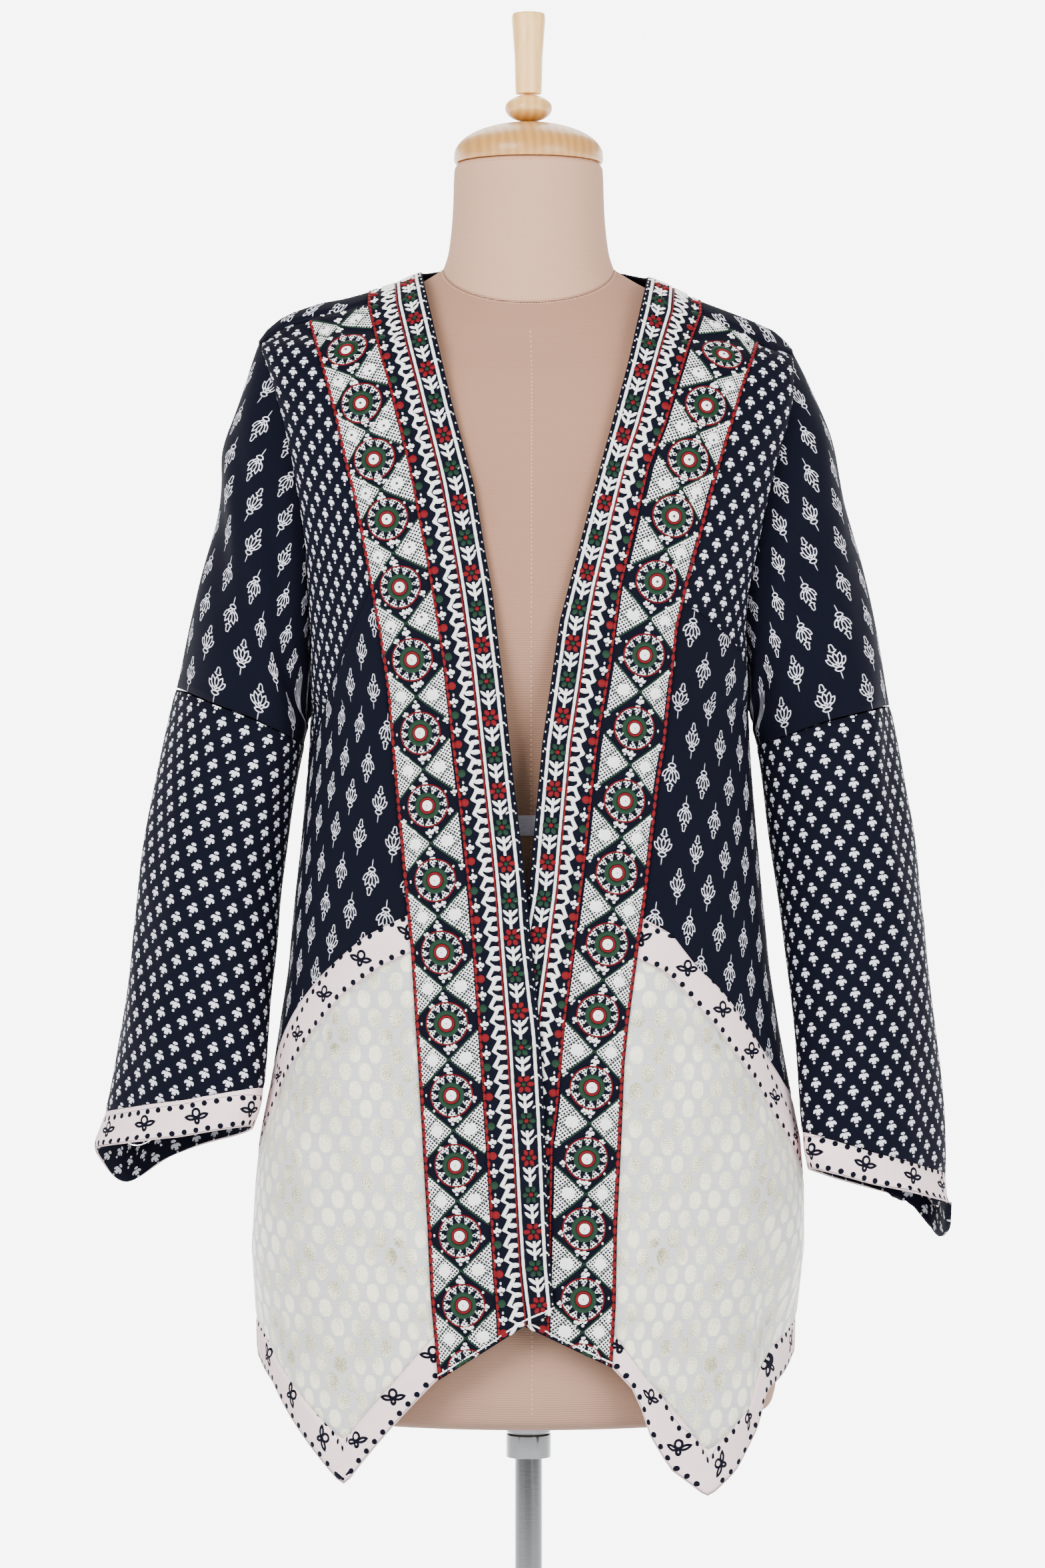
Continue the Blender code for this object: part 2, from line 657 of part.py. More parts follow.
def wrap_rows(side, angles):
    """The strip of the back that comes forward over the shoulder to the seam."""
    rows = []
    for j in range(3):
        row = []
        for a in angles:
            ridge = meet(lambda z, a=a: read(side["ridge"], section_u(side, a, z)), 1320.0)
            seam = meet(lambda z, a=a: seam_height(side, section_u(side, a, z)), 1310.0)
            z = seam + (ridge - seam) * (1.0 - (1.0 - j / 2.0) ** 2)
            u = section_u(side, a, z)
            y = front_y(side, u, z) if j < 2 else back_y(side, u, z)
            row.append(point(side, u, y, z))
        rows.append(row)
    return rows


def join_sides(grid_of):
    """One grid across both sides, from the wearer's right to the left."""
    right, left = grid_of(SIDES["right"]), grid_of(SIDES["left"])
    return [list(reversed(a)) + b[1:] for a, b in zip(right, left)]


def build_back():
    top_of_band = BACK_HEM + HEM_BAND

    def main_grid(side):
        inner, outer = back_columns(side)
        parts = row_shares(side, side["armhole"][0], top_of_band, 45)
        return back_rows(side, inner + outer, top_of_band, parts)

    def band_grid(side):
        inner, outer = back_columns(side)
        return back_rows(side, inner + outer, BACK_HEM, shares(2), top=top_of_band)

    wide = len(PANEL_SHARES) + len(YOKE_SHARES)
    last = 2 * (NECK_STEPS + wide)
    joined = set(range(wide + 1)) | set(range(last - wide, last + 1))
    grids = [trim(join_sides(main_grid), SEAM_GAP / 2, joined=joined)]
    for side in SIDES.values():
        wrap = wrap_rows(side, back_columns(side)[1])
        for row in wrap:
            row[-1] += (row[-2] - row[-1]).normalized() * SEAM_GAP / 2
        wrap[0] = [a + (b - a).normalized() * WRAP_GAP for a, b in zip(wrap[0], wrap[1])]
        grids.append(wrap)
    cloth_piece("back", grids, "lotus_print")
    cloth_piece(
        "back_hem_band", [trim(join_sides(band_grid), SEAM_GAP / 2)], "pink_band")


def armhole_point(side, angle):
    """Edge of the armhole: 0 at the top, then front, underarm and back."""
    top, low = side["armhole"]
    z = (top + low) / 2.0 + (top - low) / 2.0 * math.cos(angle)
    u = read(side["side"], z)
    y = -armhole_depth(side, z) if math.sin(angle) > 0 else armhole_depth(side, z)
    return point(side, u, y, z)


def ring_point(side, ring, angle):
    """Point of a sleeve ring, on elliptical arcs through its four points."""
    outer, front, inner, back = (point(side, *p) for p in ring)
    centre = (outer + front + inner + back) / 4.0
    c, s = math.cos(angle), math.sin(angle)
    c = math.copysign(abs(c) ** 0.9, c)
    s = math.copysign(abs(s) ** 0.9, s)
    along = (outer - centre) * c if c > 0 else (centre - inner) * c
    across = (front - centre) * s if s > 0 else (centre - back) * s
    return centre + along + across


def curve_through(points, t):
    """Catmull-Rom curve through points, at a real-valued index t."""
    i = min(int(t), len(points) - 2)
    f = t - i
    a, b = points[max(i - 1, 0)], points[i]
    c, d = points[i + 1], points[min(i + 2, len(points) - 1)]
    return 0.5 * (2 * b + (c - a) * f + (2 * a - 5 * b + 4 * c - d) * f * f
                  + (3 * b - a - 3 * c + d) * f ** 3)


def sleeve_point(side, angle, t):
    """Sleeve surface at an angle round it and a ring index t down it."""
    stations = [armhole_point(side, angle)]
    stations += [ring_point(side, ring, angle) for ring in side["sleeve"]]
    p = curve_through(stations, t)
    where, width, depth = side["cuff_dip"]
    turn = (math.degrees(angle) - where) / width
    share = smooth((t - SLEEVE_SEAM_RING) / (CUFF_RING - SLEEVE_SEAM_RING))
    p.z -= depth * MM * math.exp(-turn * turn) * share
    return p


def sleeve_rows(side, first, last, count):
    rows = []
    for j in range(count + 1):
        t = first + (last - first) * j / count
        rows.append([
            sleeve_point(side, 2.0 * math.pi * i / SLEEVE_COLUMNS, t)
            for i in range(SLEEVE_COLUMNS)])
    return rows


def build_sleeve(name, side):
    def middle(p):
        rings = [[point(side, *q) for q in ring] for ring in side["sleeve"]]
        centres = [sum(ring, Vector()) / 4.0 for ring in rings]
        return min(centres, key=lambda c: abs(c.z - p.z))

    pieces = [  # name, material, first ring, last ring, rows
        ("sleeve_upper", "lotus_print", 0, SLEEVE_SEAM_RING, 8),
        ("sleeve_lower", "flower_print", SLEEVE_SEAM_RING, CUFF_RING, 8),
        ("cuff", "pink_band", CUFF_RING, CUFF_RING + 1, 2),
    ]
    for piece, material, first, last, count in pieces:
        rows = sleeve_rows(side, first, last, count)
        if first == 0:
            rows[0] = [a + (b - a).normalized() * ARMHOLE_GAP
                       for a, b in zip(rows[0], rows[1])]
        rows = trim(rows, SEAM_GAP / 2, closed=True)
        cloth_piece(piece + "_" + name, [rows], material, middle, closed=True)


for old in list(bpy.data.objects):
    bpy.data.objects.remove(old, do_unlink=True)
part_collection = bpy.data.collections.new("embroidered_jacket_on_dress_form")
bpy.context.scene.collection.children.link(part_collection)

build_stand()
build_form()
build_tape()
for side_name, side_tables in SIDES.items():
    build_flower_band(side_name, side_tables)
    build_medallion_panel(side_name, side_tables)
    build_front_panels(side_name, side_tables)
    build_sleeve(side_name, side_tables)
build_back()
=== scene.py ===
# %% [markdown]
# # An embroidered jacket on a dress form
# The real object is an open-front cotton jacket, worn by a limbless dress form
# on a steel stand. The navy cloth is printed, the skirt is a cream brocade, and
# a broad hand-embroidered border runs up each front and round the neck.
# The imported model gives every piece its place and size. Each plain cloth solid
# is replaced here by a finer cloth of the same shape with soft folds, and the
# border is sewn with raised thread. The first step loads that model.

# %% Load the imported model
import json
import math

import bmesh
import bpy
from mathutils import Matrix, Vector, noise

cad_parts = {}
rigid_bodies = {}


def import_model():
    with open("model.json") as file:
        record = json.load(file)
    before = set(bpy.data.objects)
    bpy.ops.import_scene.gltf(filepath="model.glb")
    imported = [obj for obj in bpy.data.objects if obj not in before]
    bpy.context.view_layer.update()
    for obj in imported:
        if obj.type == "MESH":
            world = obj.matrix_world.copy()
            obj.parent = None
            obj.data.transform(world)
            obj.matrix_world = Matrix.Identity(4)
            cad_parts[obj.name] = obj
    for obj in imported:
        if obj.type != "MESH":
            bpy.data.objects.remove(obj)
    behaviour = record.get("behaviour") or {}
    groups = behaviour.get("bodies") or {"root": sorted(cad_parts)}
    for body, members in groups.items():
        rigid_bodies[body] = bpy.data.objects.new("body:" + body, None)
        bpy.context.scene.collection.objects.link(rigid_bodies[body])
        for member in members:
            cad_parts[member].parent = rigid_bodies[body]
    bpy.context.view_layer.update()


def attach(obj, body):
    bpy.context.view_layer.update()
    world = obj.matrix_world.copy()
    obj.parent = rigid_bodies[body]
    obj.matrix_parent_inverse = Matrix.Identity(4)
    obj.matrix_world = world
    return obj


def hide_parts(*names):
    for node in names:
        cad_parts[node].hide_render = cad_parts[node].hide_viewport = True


for leftover in list(bpy.data.objects):
    bpy.data.objects.remove(leftover)
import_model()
MM = 0.001

# %% [markdown]
# ## The view
# The photograph is taken straight on, from about chest height, with a long lens.
# One pixel of it covers 0.4382 mm in the plane through the wearer's sides, and
# that fixes the lens once the distance is chosen.

# %% Camera
EYE = Vector((-0.004, -3.2, 1.012))
IMAGE_HEIGHT = 2352
MM_PER_PIXEL = 0.4382
lens = bpy.data.cameras.new("portrait lens")
lens.sensor_width = 36.0
lens.lens = 36.0 * -EYE.y / (IMAGE_HEIGHT * MM_PER_PIXEL * MM)
camera = bpy.data.objects.new("camera", lens)
camera.location = EYE
camera.rotation_euler = (math.radians(90), 0, 0)
bpy.context.scene.collection.objects.link(camera)
bpy.context.scene.camera = camera
print("lens", round(lens.lens, 1), "mm")

# %% [markdown]
# ## Studio
# The studio is a pale floor that curves up into a pale wall, lit by three large
# soft lamps. A bend swept by a grid keeps the horizon out of the picture.

# %% Floor, wall and lamps
def simple_material(name, colour, roughness):
    material = bpy.data.materials.new(name)
    material.use_nodes = True
    shader = material.node_tree.nodes["Principled BSDF"]
    shader.inputs["Base Color"].default_value = (*colour, 1.0)
    shader.inputs["Roughness"].default_value = roughness
    return material


def add_piece(name, bm, material, smooth_faces=True):
    """Turn a bmesh into an object at the origin that wears one material."""
    mesh = bpy.data.meshes.new(name)
    bm.to_mesh(mesh)
    bm.free()
    mesh.materials.append(material)
    if smooth_faces:
        mesh.shade_smooth()
    item = bpy.data.objects.new(name, mesh)
    bpy.context.scene.collection.objects.link(item)
    return item


def build_studio():
    bm = bmesh.new()
    bmesh.ops.create_grid(bm, x_segments=2, y_segments=200, size=14.0)
    for v in bm.verts:
        run = v.co.y + 1.0
        bend, radius = 10.0, 1.2
        if run > bend:
            angle = min((run - bend) / radius, math.pi / 2)
            rest = max(0.0, run - bend - radius * math.pi / 2)
            v.co.y = bend - 1.0 + radius * math.sin(angle)
            v.co.z = radius * (1 - math.cos(angle)) + rest
    paper = simple_material("studio paper", (0.93, 0.93, 0.935), 0.9)
    shader = paper.node_tree.nodes["Principled BSDF"]
    shader.inputs["Emission Color"].default_value = (1, 1, 1, 1)
    shader.inputs["Emission Strength"].default_value = 6.0
    floor = add_piece("studio_floor", bm, paper)
    floor.visible_diffuse = False
    return floor


def add_lamp(name, place, target, width, power):
    data = bpy.data.lights.new(name, "AREA")
    data.shape = "SQUARE"
    data.size = width
    data.energy = power
    lamp = bpy.data.objects.new(name, data)
    lamp.location = place
    lamp.rotation_euler = (Vector(target) - Vector(place)).to_track_quat("-Z", "Y").to_euler()
    bpy.context.scene.collection.objects.link(lamp)


build_studio()
add_lamp("key", (-1.6, -2.6, 2.3), (0, 0, 1.0), 1.6, 160)
add_lamp("fill", (1.9, -2.4, 1.6), (0, 0, 1.0), 1.8, 100)
add_lamp("back", (0.0, 1.4, 2.7), (0, 0, 1.2), 1.4, 40)
world = bpy.data.worlds.new("soft room")
world.use_nodes = True
world.node_tree.nodes["Background"].inputs["Color"].default_value = (1, 1, 1, 1)
world.node_tree.nodes["Background"].inputs["Strength"].default_value = 1.0
bpy.context.scene.world = world
print("studio: floor, wall and", len(bpy.data.lights), "lamps")

# %% [markdown]
# ## The jacket's measurements
# The jacket's outer surface is described by tables of side lines, seam lines and
# sleeve rings, in millimetres, the same ones that the solids were made from. A
# body section is a squashed oval whose half width and depth change with height.
# The wearer's right side is at -X and laps over the left below the neck.
# Repeating the tables here lets each cloth be drawn again with a much finer grid.

# %% Tables of the jacket
# Body section of the cloth: |x / half width|^n + |y / depth|^n = 1
SECTION_POWER = 2.3
SHOULDER_FALL = 90.0        # height over which the cloth rounds from ridge to chest
ARMHOLE_REACH = 62.0        # how far it reaches forward and back of the side
NECK_BACK_Y = 64.0          # neck edge at the centre back
NECK_BACK_Z = 1362.0
BAND_BACK_Y = 88.0          # outer edge of the flower band at the centre back
BACK_HEM = 640.0
HEM_BAND = 25.0
LAP_OUT = 2.0               # the wearer's right front lies this far out
LAP_IN = 1.5                # and the left front this far in, below the V

FRONT_DEPTH = [  # height, depth in front of the side plane
    (550, 139), (750, 135), (900, 131), (1000, 129), (1100, 127),
    (1150, 122), (1200, 113), (1250, 100), (1300, 86), (1350, 70)]
BACK_DEPTH = [  # height, depth behind the side plane
    (550, 133), (700, 128), (800, 122), (900, 113), (1000, 108),
    (1100, 110), (1200, 112), (1250, 108), (1300, 102), (1360, 90)]

# Form sections: height at the sides, half width, front, back, front drop, back rise
FORM_RINGS = [
    (600, 148, 97, 99, 0, 0), (604, 157, 105, 107, 0, 0),
    (612, 161, 109, 111, 0, 0), (628, 163, 112, 113, 0, 0),
    (680, 164, 113, 117, 0, 0), (740, 165, 113, 117, 0, 0),
    (800, 159, 109, 110, 0, 0), (870, 138, 99, 98, 0, 0),
    (940, 117, 91, 88, 0, 0), (1000, 119, 96, 88, 0, 0),
    (1050, 127, 106, 92, 0, 0), (1100, 133, 117, 97, 0, 0),
    (1150, 137, 117, 101, 0, 0), (1200, 142, 110, 102, 6, 0),
    (1240, 148, 103, 99, 13, 3), (1270, 153, 96, 92, 20, 5),
    (1295, 156, 88, 80, 25, 5), (1306.8, 145.3, 81, 71.3, 26, 5),
    (1314.8, 127.4, 75, 67.4, 26, 5), (1322.8, 108.4, 69, 64.4, 25, 6),
    (1331.5, 90, 64, 64, 25, 7), (1341, 71, 58, 59, 26, 8),
    (1350, 56, 53, 55, 27, 9)]
NECK_RINGS = [
    (1350.3, 56, 53, 55, 27, 9), (1362, 52.5, 50.5, 52, 18, 6),
    (1385, 50, 49, 50, 8, 3), (1412, 49, 48, 48, 0, 0),
    (1417, 48, 47, 47, 0, 0), (1419.5, 46, 45, 45, 0, 0)]

# Tables of each side of the jacket. "right" is the wearer's right, at -X.
# Widths are distances from the centre plane, and shares run from the border to the side.
SIDES = {
    "right": {
        "sign": -1,
        "lap": LAP_OUT,
        "armhole": (1303.0, 1062.5),
        "neck_x": 70.5,
        "band_x": 104.0,
        "side": [
            (560, 176), (660, 178), (710, 181.5), (750, 179.5), (780, 176.5),
            (815, 169.5), (850, 164), (890, 158), (950, 152), (1015, 146),
            (1062.5, 142.5), (1100, 141), (1134.5, 142.5), (1163, 144),
            (1192, 148), (1221, 153), (1246, 159), (1273, 166.5), (1303, 177.5)],
        "ridge": [
            (0, 1361), (53.5, 1357), (67, 1350), (84.6, 1342), (102, 1336),
            (119.6, 1331), (137, 1328), (146, 1325), (155, 1322), (163, 1318),
            (172, 1310.5), (177.5, 1303)],
        "seam_drop": [(100, 10.5), (143, 11), (166, 8.5), (177.5, 6)],
        "edge": [
            (640, -17), (679, -16.4), (708, -13.8), (742, -12.2), (800, -10.1),
            (853, -7.6), (893, -3.8), (953, 2.1), (1016, 9.7), (1068, 15.1),
            (1132, 22.8), (1202, 34.7), (1255, 48.9), (1341, 69), (1348.6, 70.5)],
        "chain": [
            (640, 17.7), (675, 19.3), (708, 21.8), (784, 26), (859, 31.1),
            (935, 36.6), (985, 41.7), (1036, 47.6), (1086, 53.1), (1150, 63.4),
            (1214, 75.9), (1240, 82), (1266, 88.6), (1293, 96.4), (1324, 104)],
        "outer": [
            (636, 57.1), (688, 61.8), (733, 63.9), (783, 66.9), (833, 69.9),
            (906, 74.7), (960, 80.3), (1030, 86.8), (1072, 90.1), (1105, 94.8),
            (1149, 102.9), (1197, 112.1), (1214, 116.9), (1250, 125),
            (1282, 133.8), (1313, 143.3)],
        "edge_bottom": [(-16.4, 679), (2.5, 671), (57, 636)],
        "yoke_low": [(0, 1137), (0.8, 1032), (1, 1012)],
        "arch_top": [
            (0, 929), (0.21, 915), (0.46, 890), (0.69, 864), (0.85, 842), (1, 820)],
        "arch_low": [
            (0, 905), (0.13, 896), (0.32, 877), (0.51, 850), (0.69, 821),
            (0.8, 797), (0.89, 778), (1, 760)],
        "hem_top": [(0, 664), (0.31, 595), (0.72, 653), (0.85, 662), (1, 665)],
        "hem_low": [(0, 637), (0.31, 566), (0.69, 627), (0.85, 638), (1, 640)],
        "sleeve": [  # outer, front, inner and back point of each ring: x, y, z
            ((196.5, 0, 1238), (160, -66, 1150), (143.5, 0, 1057), (160, 66, 1152)),
            ((206.8, 0, 1180), (172, -64, 1115), (145.5, 0, 1051), (172, 64, 1117)),
            ((232.9, 0, 1075), (175.4, -60, 1053), (149, -2, 1038.7), (176, 60, 1056)),
            ((252, 2, 975), (204.5, -58, 962), (159.1, -8, 962), (204.5, 56, 967)),
            ((263.8, 4, 887), (215, -56, 885), (167, -20, 890), (215, 52, 892)),
            ((278.7, 4, 796), (222.2, -56, 808), (172.7, -33, 814), (224, 46, 794)),
            ((285.7, 4, 772), (228.2, -58, 784), (177.9, -35, 789), (230, 46, 770))],
        "cuff_dip": (311, 30, 20),
    },
    "left": {
        "sign": 1,
        "lap": -LAP_IN,
        "armhole": (1298.0, 1062.0),
        "neck_x": 78.5,
        "band_x": 112.0,
        "side": [
            (560, 173), (660, 174.5), (710, 180.5), (750, 180.5), (780, 178),
            (815, 171), (850, 165), (890, 159), (950, 153), (1015, 147),
            (1062, 144), (1083, 142.5), (1110, 140.5), (1134.5, 142), (1165, 148),
            (1182, 151.5), (1204, 156.5), (1222, 161), (1242, 167), (1260, 171.5),
            (1275, 172.5), (1298, 173)],
        "ridge": [
            (0, 1361), (55, 1356), (64, 1351), (73, 1347.7), (91, 1340),
            (108, 1331), (126, 1324.4), (143, 1318), (152, 1314), (161, 1310),
            (169.6, 1302.5), (173, 1298)],
        "seam_drop": [(108, 11), (149, 15), (160, 16), (169, 9), (173, 6)],
        "edge": [
            (640, -26), (670, -25.6), (729, -23.5), (786, -21), (817, -19.3),
            (853, -13.9), (900, -7.1), (927, -3.8), (947, 0), (1038, 8.4),
            (1115, 19.4), (1198, 41), (1280, 63.1), (1342, 77.5), (1345.7, 78.5)],
        "chain": [
            (640, 12), (670, 12.2), (784, 14.3), (809, 17.6), (859, 21.9),
            (909, 28.2), (960, 34.5), (1036, 42.5), (1086, 51), (1137, 57.8),
            (1214, 75.9), (1240, 86.2), (1293, 102.4), (1319, 112)],
        "outer": [
            (644, 52.5), (683, 54.6), (733, 55.5), (783, 58), (834, 60.2),
            (859, 62.7), (909, 69.6), (934, 73.8), (1010, 82.4), (1036, 86.8),
            (1086, 92.2), (1112, 94.8), (1137, 100.8), (1214, 122),
            (1267, 138.2), (1300, 150.3)],
        "edge_bottom": [(-25.6, 682), (-2.3, 670), (52.5, 644)],
        "yoke_low": [(0, 1127), (1, 1084)],
        "arch_top": [
            (0, 927), (0.13, 917), (0.25, 897), (0.38, 881), (0.53, 859),
            (0.67, 836), (0.81, 818), (1, 803)],
        "arch_low": [
            (0, 901), (0.12, 892), (0.23, 875), (0.35, 857), (0.43, 842),
            (0.56, 820), (0.65, 797), (0.76, 778), (1, 748)],
        "hem_top": [
            (0, 665), (0.1, 637), (0.31, 588), (0.5, 613), (0.55, 636),
            (0.64, 652), (0.85, 662), (1, 665)],
        "hem_low": [
            (0, 644), (0.07, 627), (0.11, 600), (0.18, 578), (0.31, 559),
            (0.44, 575), (0.56, 602), (0.6, 622), (0.85, 640), (1, 642)],
        "sleeve": [
            ((199.5, 0, 1238), (162, -66, 1150), (145, 0, 1057), (162, 66, 1152)),
            ((213, 0, 1180), (175, -64, 1115), (147, 0, 1050), (175, 64, 1117)),
            ((236.6, 0, 1063), (194.4, -60, 1053), (149.5, -2, 1037), (194, 60, 1056)),
            ((252.8, 2, 975), (207, -58, 965), (161.3, -8, 957.7), (207, 56, 967)),
            ((266, 4, 888), (218, -56, 880), (170.9, -22, 874.4), (218, 52, 884)),
            ((275.6, 4, 756), (222.6, -56, 774), (178, -35, 785.5), (226, 46, 762)),
            ((279.1, 4, 736), (226.1, -58, 753), (181.5, -38, 762.2), (229, 46, 742))],
        "cuff_dip": (335, 28, 22),
    },
}
SLEEVE_SEAM_RING = 3        # ring where the sleeve's two prints meet
CUFF_RING = 6               # ring where the cuff band starts
print("sides:", ", ".join(SIDES))

# %% [markdown]
# ## The surface itself
# These functions turn the tables into points. front_y and back_y give the depth
# of the cloth over a width and a height, and sleeve_point runs a smooth curve
# through the rings of a sleeve. They are plain functions of two numbers, so any
# seam, cord or stitch can be placed by where it lies on the cloth.

# %% Points on the jacket
def read(table, key):
    """Straight-line value of a two-column table at a key."""
    if key <= table[0][0]:
        return table[0][1]
    for (low, a), (high, b) in zip(table, table[1:]):
        if key <= high:
            return a + (b - a) * (key - low) / (high - low)
    return table[-1][1]


def smooth(value):
    """Smooth step from 0 at 0 to 1 at 1."""
    value = min(max(value, 0.0), 1.0)
    return value * value * (3.0 - 2.0 * value)


def quarter_rise(drop):
    """0 at the ridge, 1 once the cloth has fallen SHOULDER_FALL below it."""
    t = min(max(drop / SHOULDER_FALL, 0.0), 1.0)
    return math.sqrt(1.0 - (1.0 - t) ** 2)


def armhole_depth(side, z):
    """Half the armhole's depth at a height, 0 above and below it."""
    top, low = side["armhole"]
    t = (2.0 * z - top - low) / (top - low)
    return ARMHOLE_REACH * math.sqrt(max(0.0, 1.0 - t * t))


def profile(side, u, z):
    """Depth of the section at u, as a share of its depth at the centre."""
    q = min(abs(u) / read(side["side"], z), 1.0)
    return (1.0 - q ** SECTION_POWER) ** (1.0 / SECTION_POWER)


def point(side, u, y, z):
    return Vector((side["sign"] * u * MM, y * MM, z * MM))


def front_y(side, u, z):
    """Front surface of the jacket over (u, z); u is the distance from centre."""
    reach = armhole_depth(side, z)
    rise = quarter_rise(read(side["ridge"], abs(u)) - z)
    lap = side["lap"] * smooth((1000.0 - z) / 42.0) * smooth((45.0 - u) / 30.0)
    depth = read(FRONT_DEPTH, z) - reach
    return -(reach + depth * profile(side, u, z) * rise) - lap


def neck_edge(side, u):
    """Top of the back at u: its y and z on the neck edge or on the ridge."""
    if abs(u) >= side["neck_x"]:
        return 0.0, read(side["ridge"], abs(u))
    t = abs(u) / side["neck_x"]
    low = read(side["ridge"], side["neck_x"])
    return NECK_BACK_Y * math.sqrt(1.0 - t * t), NECK_BACK_Z + (low - NECK_BACK_Z) * t * t


def back_y(side, u, z):
    """Back surface of the jacket over (u, z)."""
    reach = armhole_depth(side, z)
    top_y, top_z = neck_edge(side, u)
    full = (read(BACK_DEPTH, z) - reach) * profile(side, u, z)
    return reach + top_y + (full - top_y) * quarter_rise(top_z - z)


def halved(low, high, is_low, times=40):
    """The value between low and high at which is_low stops being true."""
    for _ in range(times):
        middle = (low + high) / 2
        if is_low(middle):
            low = middle
        else:
            high = middle
    return (low + high) / 2


def back_z(side, u, y):
    """Height at which the back surface passes over (u, y)."""
    top = neck_edge(side, u)[1]
    return halved(top - SHOULDER_FALL, top, lambda z: back_y(side, u, z) > y)


def section_angle(side, u, z):
    """Angle round the section at which it passes u."""
    q = min(abs(u) / read(side["side"], z), 1.0)
    return math.copysign(math.asin(q ** (SECTION_POWER / 2.0)), u)


def section_u(side, angle, z):
    s = math.sin(angle)
    return math.copysign(read(side["side"], z) * abs(s) ** (2.0 / SECTION_POWER), s)


def line_of(side, name):
    """A side line of the front as a function of height."""
    return lambda z: read(side[name], z)


def front_u(side, low, high, s, z):
    """u at share s of the way round from line low to line high, at a height."""
    a = section_angle(side, low(z), z)
    b = section_angle(side, high(z), z)
    return section_u(side, a + (b - a) * s, z)


def seam_height(side, u):
    """Height of the shoulder seam, which lies just in front of the ridge."""
    return read(side["ridge"], abs(u)) - read(side["seam_drop"], abs(u))


def meet(height_at, start):
    """Height at which a column meets a line that is given over u."""
    z = start
    for _ in range(40):
        z = 0.5 * z + 0.5 * height_at(z)
    return z


print("chest stands", round(-front_y(SIDES["right"], 60, 1100)), "mm in front of the sides")

# %% Points on a sleeve
def armhole_point(side, angle):
    """Edge of the armhole: 0 at the top, then front, underarm and back."""
    top, low = side["armhole"]
    z = (top + low) / 2.0 + (top - low) / 2.0 * math.cos(angle)
    u = read(side["side"], z)
    y = -armhole_depth(side, z) if math.sin(angle) > 0 else armhole_depth(side, z)
    return point(side, u, y, z)


def ring_point(side, ring, angle):
    """Point of a sleeve ring, on elliptical arcs through its four points."""
    outer, front, inner, back = (point(side, *p) for p in ring)
    centre = (outer + front + inner + back) / 4.0
    c, s = math.cos(angle), math.sin(angle)
    c = math.copysign(abs(c) ** 0.9, c)
    s = math.copysign(abs(s) ** 0.9, s)
    along = (outer - centre) * c if c > 0 else (centre - inner) * c
    across = (front - centre) * s if s > 0 else (centre - back) * s
    return centre + along + across


def curve_through(points, t):
    """Catmull-Rom curve through points, at a real-valued index t."""
    i = min(int(t), len(points) - 2)
    f = t - i
    a, b = points[max(i - 1, 0)], points[i]
    c, d = points[i + 1], points[min(i + 2, len(points) - 1)]
    return 0.5 * (2 * b + (c - a) * f + (2 * a - 5 * b + 4 * c - d) * f * f
                  + (3 * b - a - 3 * c + d) * f ** 3)


def sleeve_point(side, angle, t):
    """Sleeve surface at an angle round it and a ring index t down it."""
    stations = [armhole_point(side, angle)]
    stations += [ring_point(side, ring, angle) for ring in side["sleeve"]]
    p = curve_through(stations, t)
    where, width, depth = side["cuff_dip"]
    turn = (math.degrees(angle) - where) / width
    share = smooth((t - SLEEVE_SEAM_RING) / (CUFF_RING - SLEEVE_SEAM_RING))
    p.z -= depth * MM * math.exp(-turn * turn) * share
    return p


print("cuff low point", round(min(sleeve_point(SIDES["left"], a / 9, 7).z for a in range(57)), 3))

# %% [markdown]
# ## Folds
# Real cloth is never as smooth as a drawing. The jacket hangs in a few long soft
# folds down its fronts, skirt and back, and breaks into short slanted creases
# along the sleeves. Each fold here is a low wave along the cloth's own normal.
# The same wave runs over neighbouring pieces, so their edges stay together, and
# it dies away at the stiff embroidered border and at the armhole. Beside each
# seam the cloth dips a little, where the stitches pull it in.

# %% Fold heights
def wave(x, z, seed, across, along):
    """Soft noise from -1 to 1, stretched along the cloth."""
    return noise.noise(Vector((x / across, z / along, seed * 7.3))) * 1.6


def body_fold(side, u, z, front):
    """Height in millimetres of the folds on the body of the jacket."""
    border = read(side["outer"], z) if front else 0.0
    calm = smooth((u - border) / 40.0) if front else smooth((1290.0 - z) / 120.0)
    calm *= smooth((read(side["side"], z) - u) / 16.0) if z > 1045 else 1.0
    x = side["sign"] * u
    seed = 1.0 if front else 2.0
    low = smooth((1040.0 - z) / 250.0)
    tall = 1.1 * wave(x, z, seed, 42.0, 330.0) * (0.45 + low)
    soft = 0.5 * wave(x + 0.25 * z, z, seed + 1, 26.0, 90.0)
    pull = 0.9 * wave(x - 0.6 * z, z, seed + 2, 30.0, 160.0) * smooth((z - 1000) / 120)
    return calm * (tall + soft + pull)


def sleeve_fold(side, angle, t):
    """Height in millimetres of the folds on a sleeve."""
    calm = smooth(t / 1.2) * (1.0 - 0.35 * smooth((t - 5.2) / 1.0))
    outside = 0.45 + 0.55 * smooth((math.cos(angle) + 0.55) / 0.6)
    ring = Vector((math.cos(angle), math.sin(angle), 0.0))
    slant = ring * 1.15 + Vector((0, 0, t * 1.05 + 0.8 * math.cos(angle)))
    long = ring * 1.7 + Vector((0, 0, t * 0.28 + side["sign"]))
    return calm * outside * (
        2.6 * noise.noise(slant * 1.25 + Vector((3.1 * side["sign"], 0, 0))) * 1.6
        + 2.0 * noise.noise(long + Vector((0, 5.7, 0))) * 1.6)


def seam_dip(distance):
    """How far the cloth dips beside a seam, in millimetres."""
    return -0.55 * math.exp(-(distance / 2.2) ** 2)


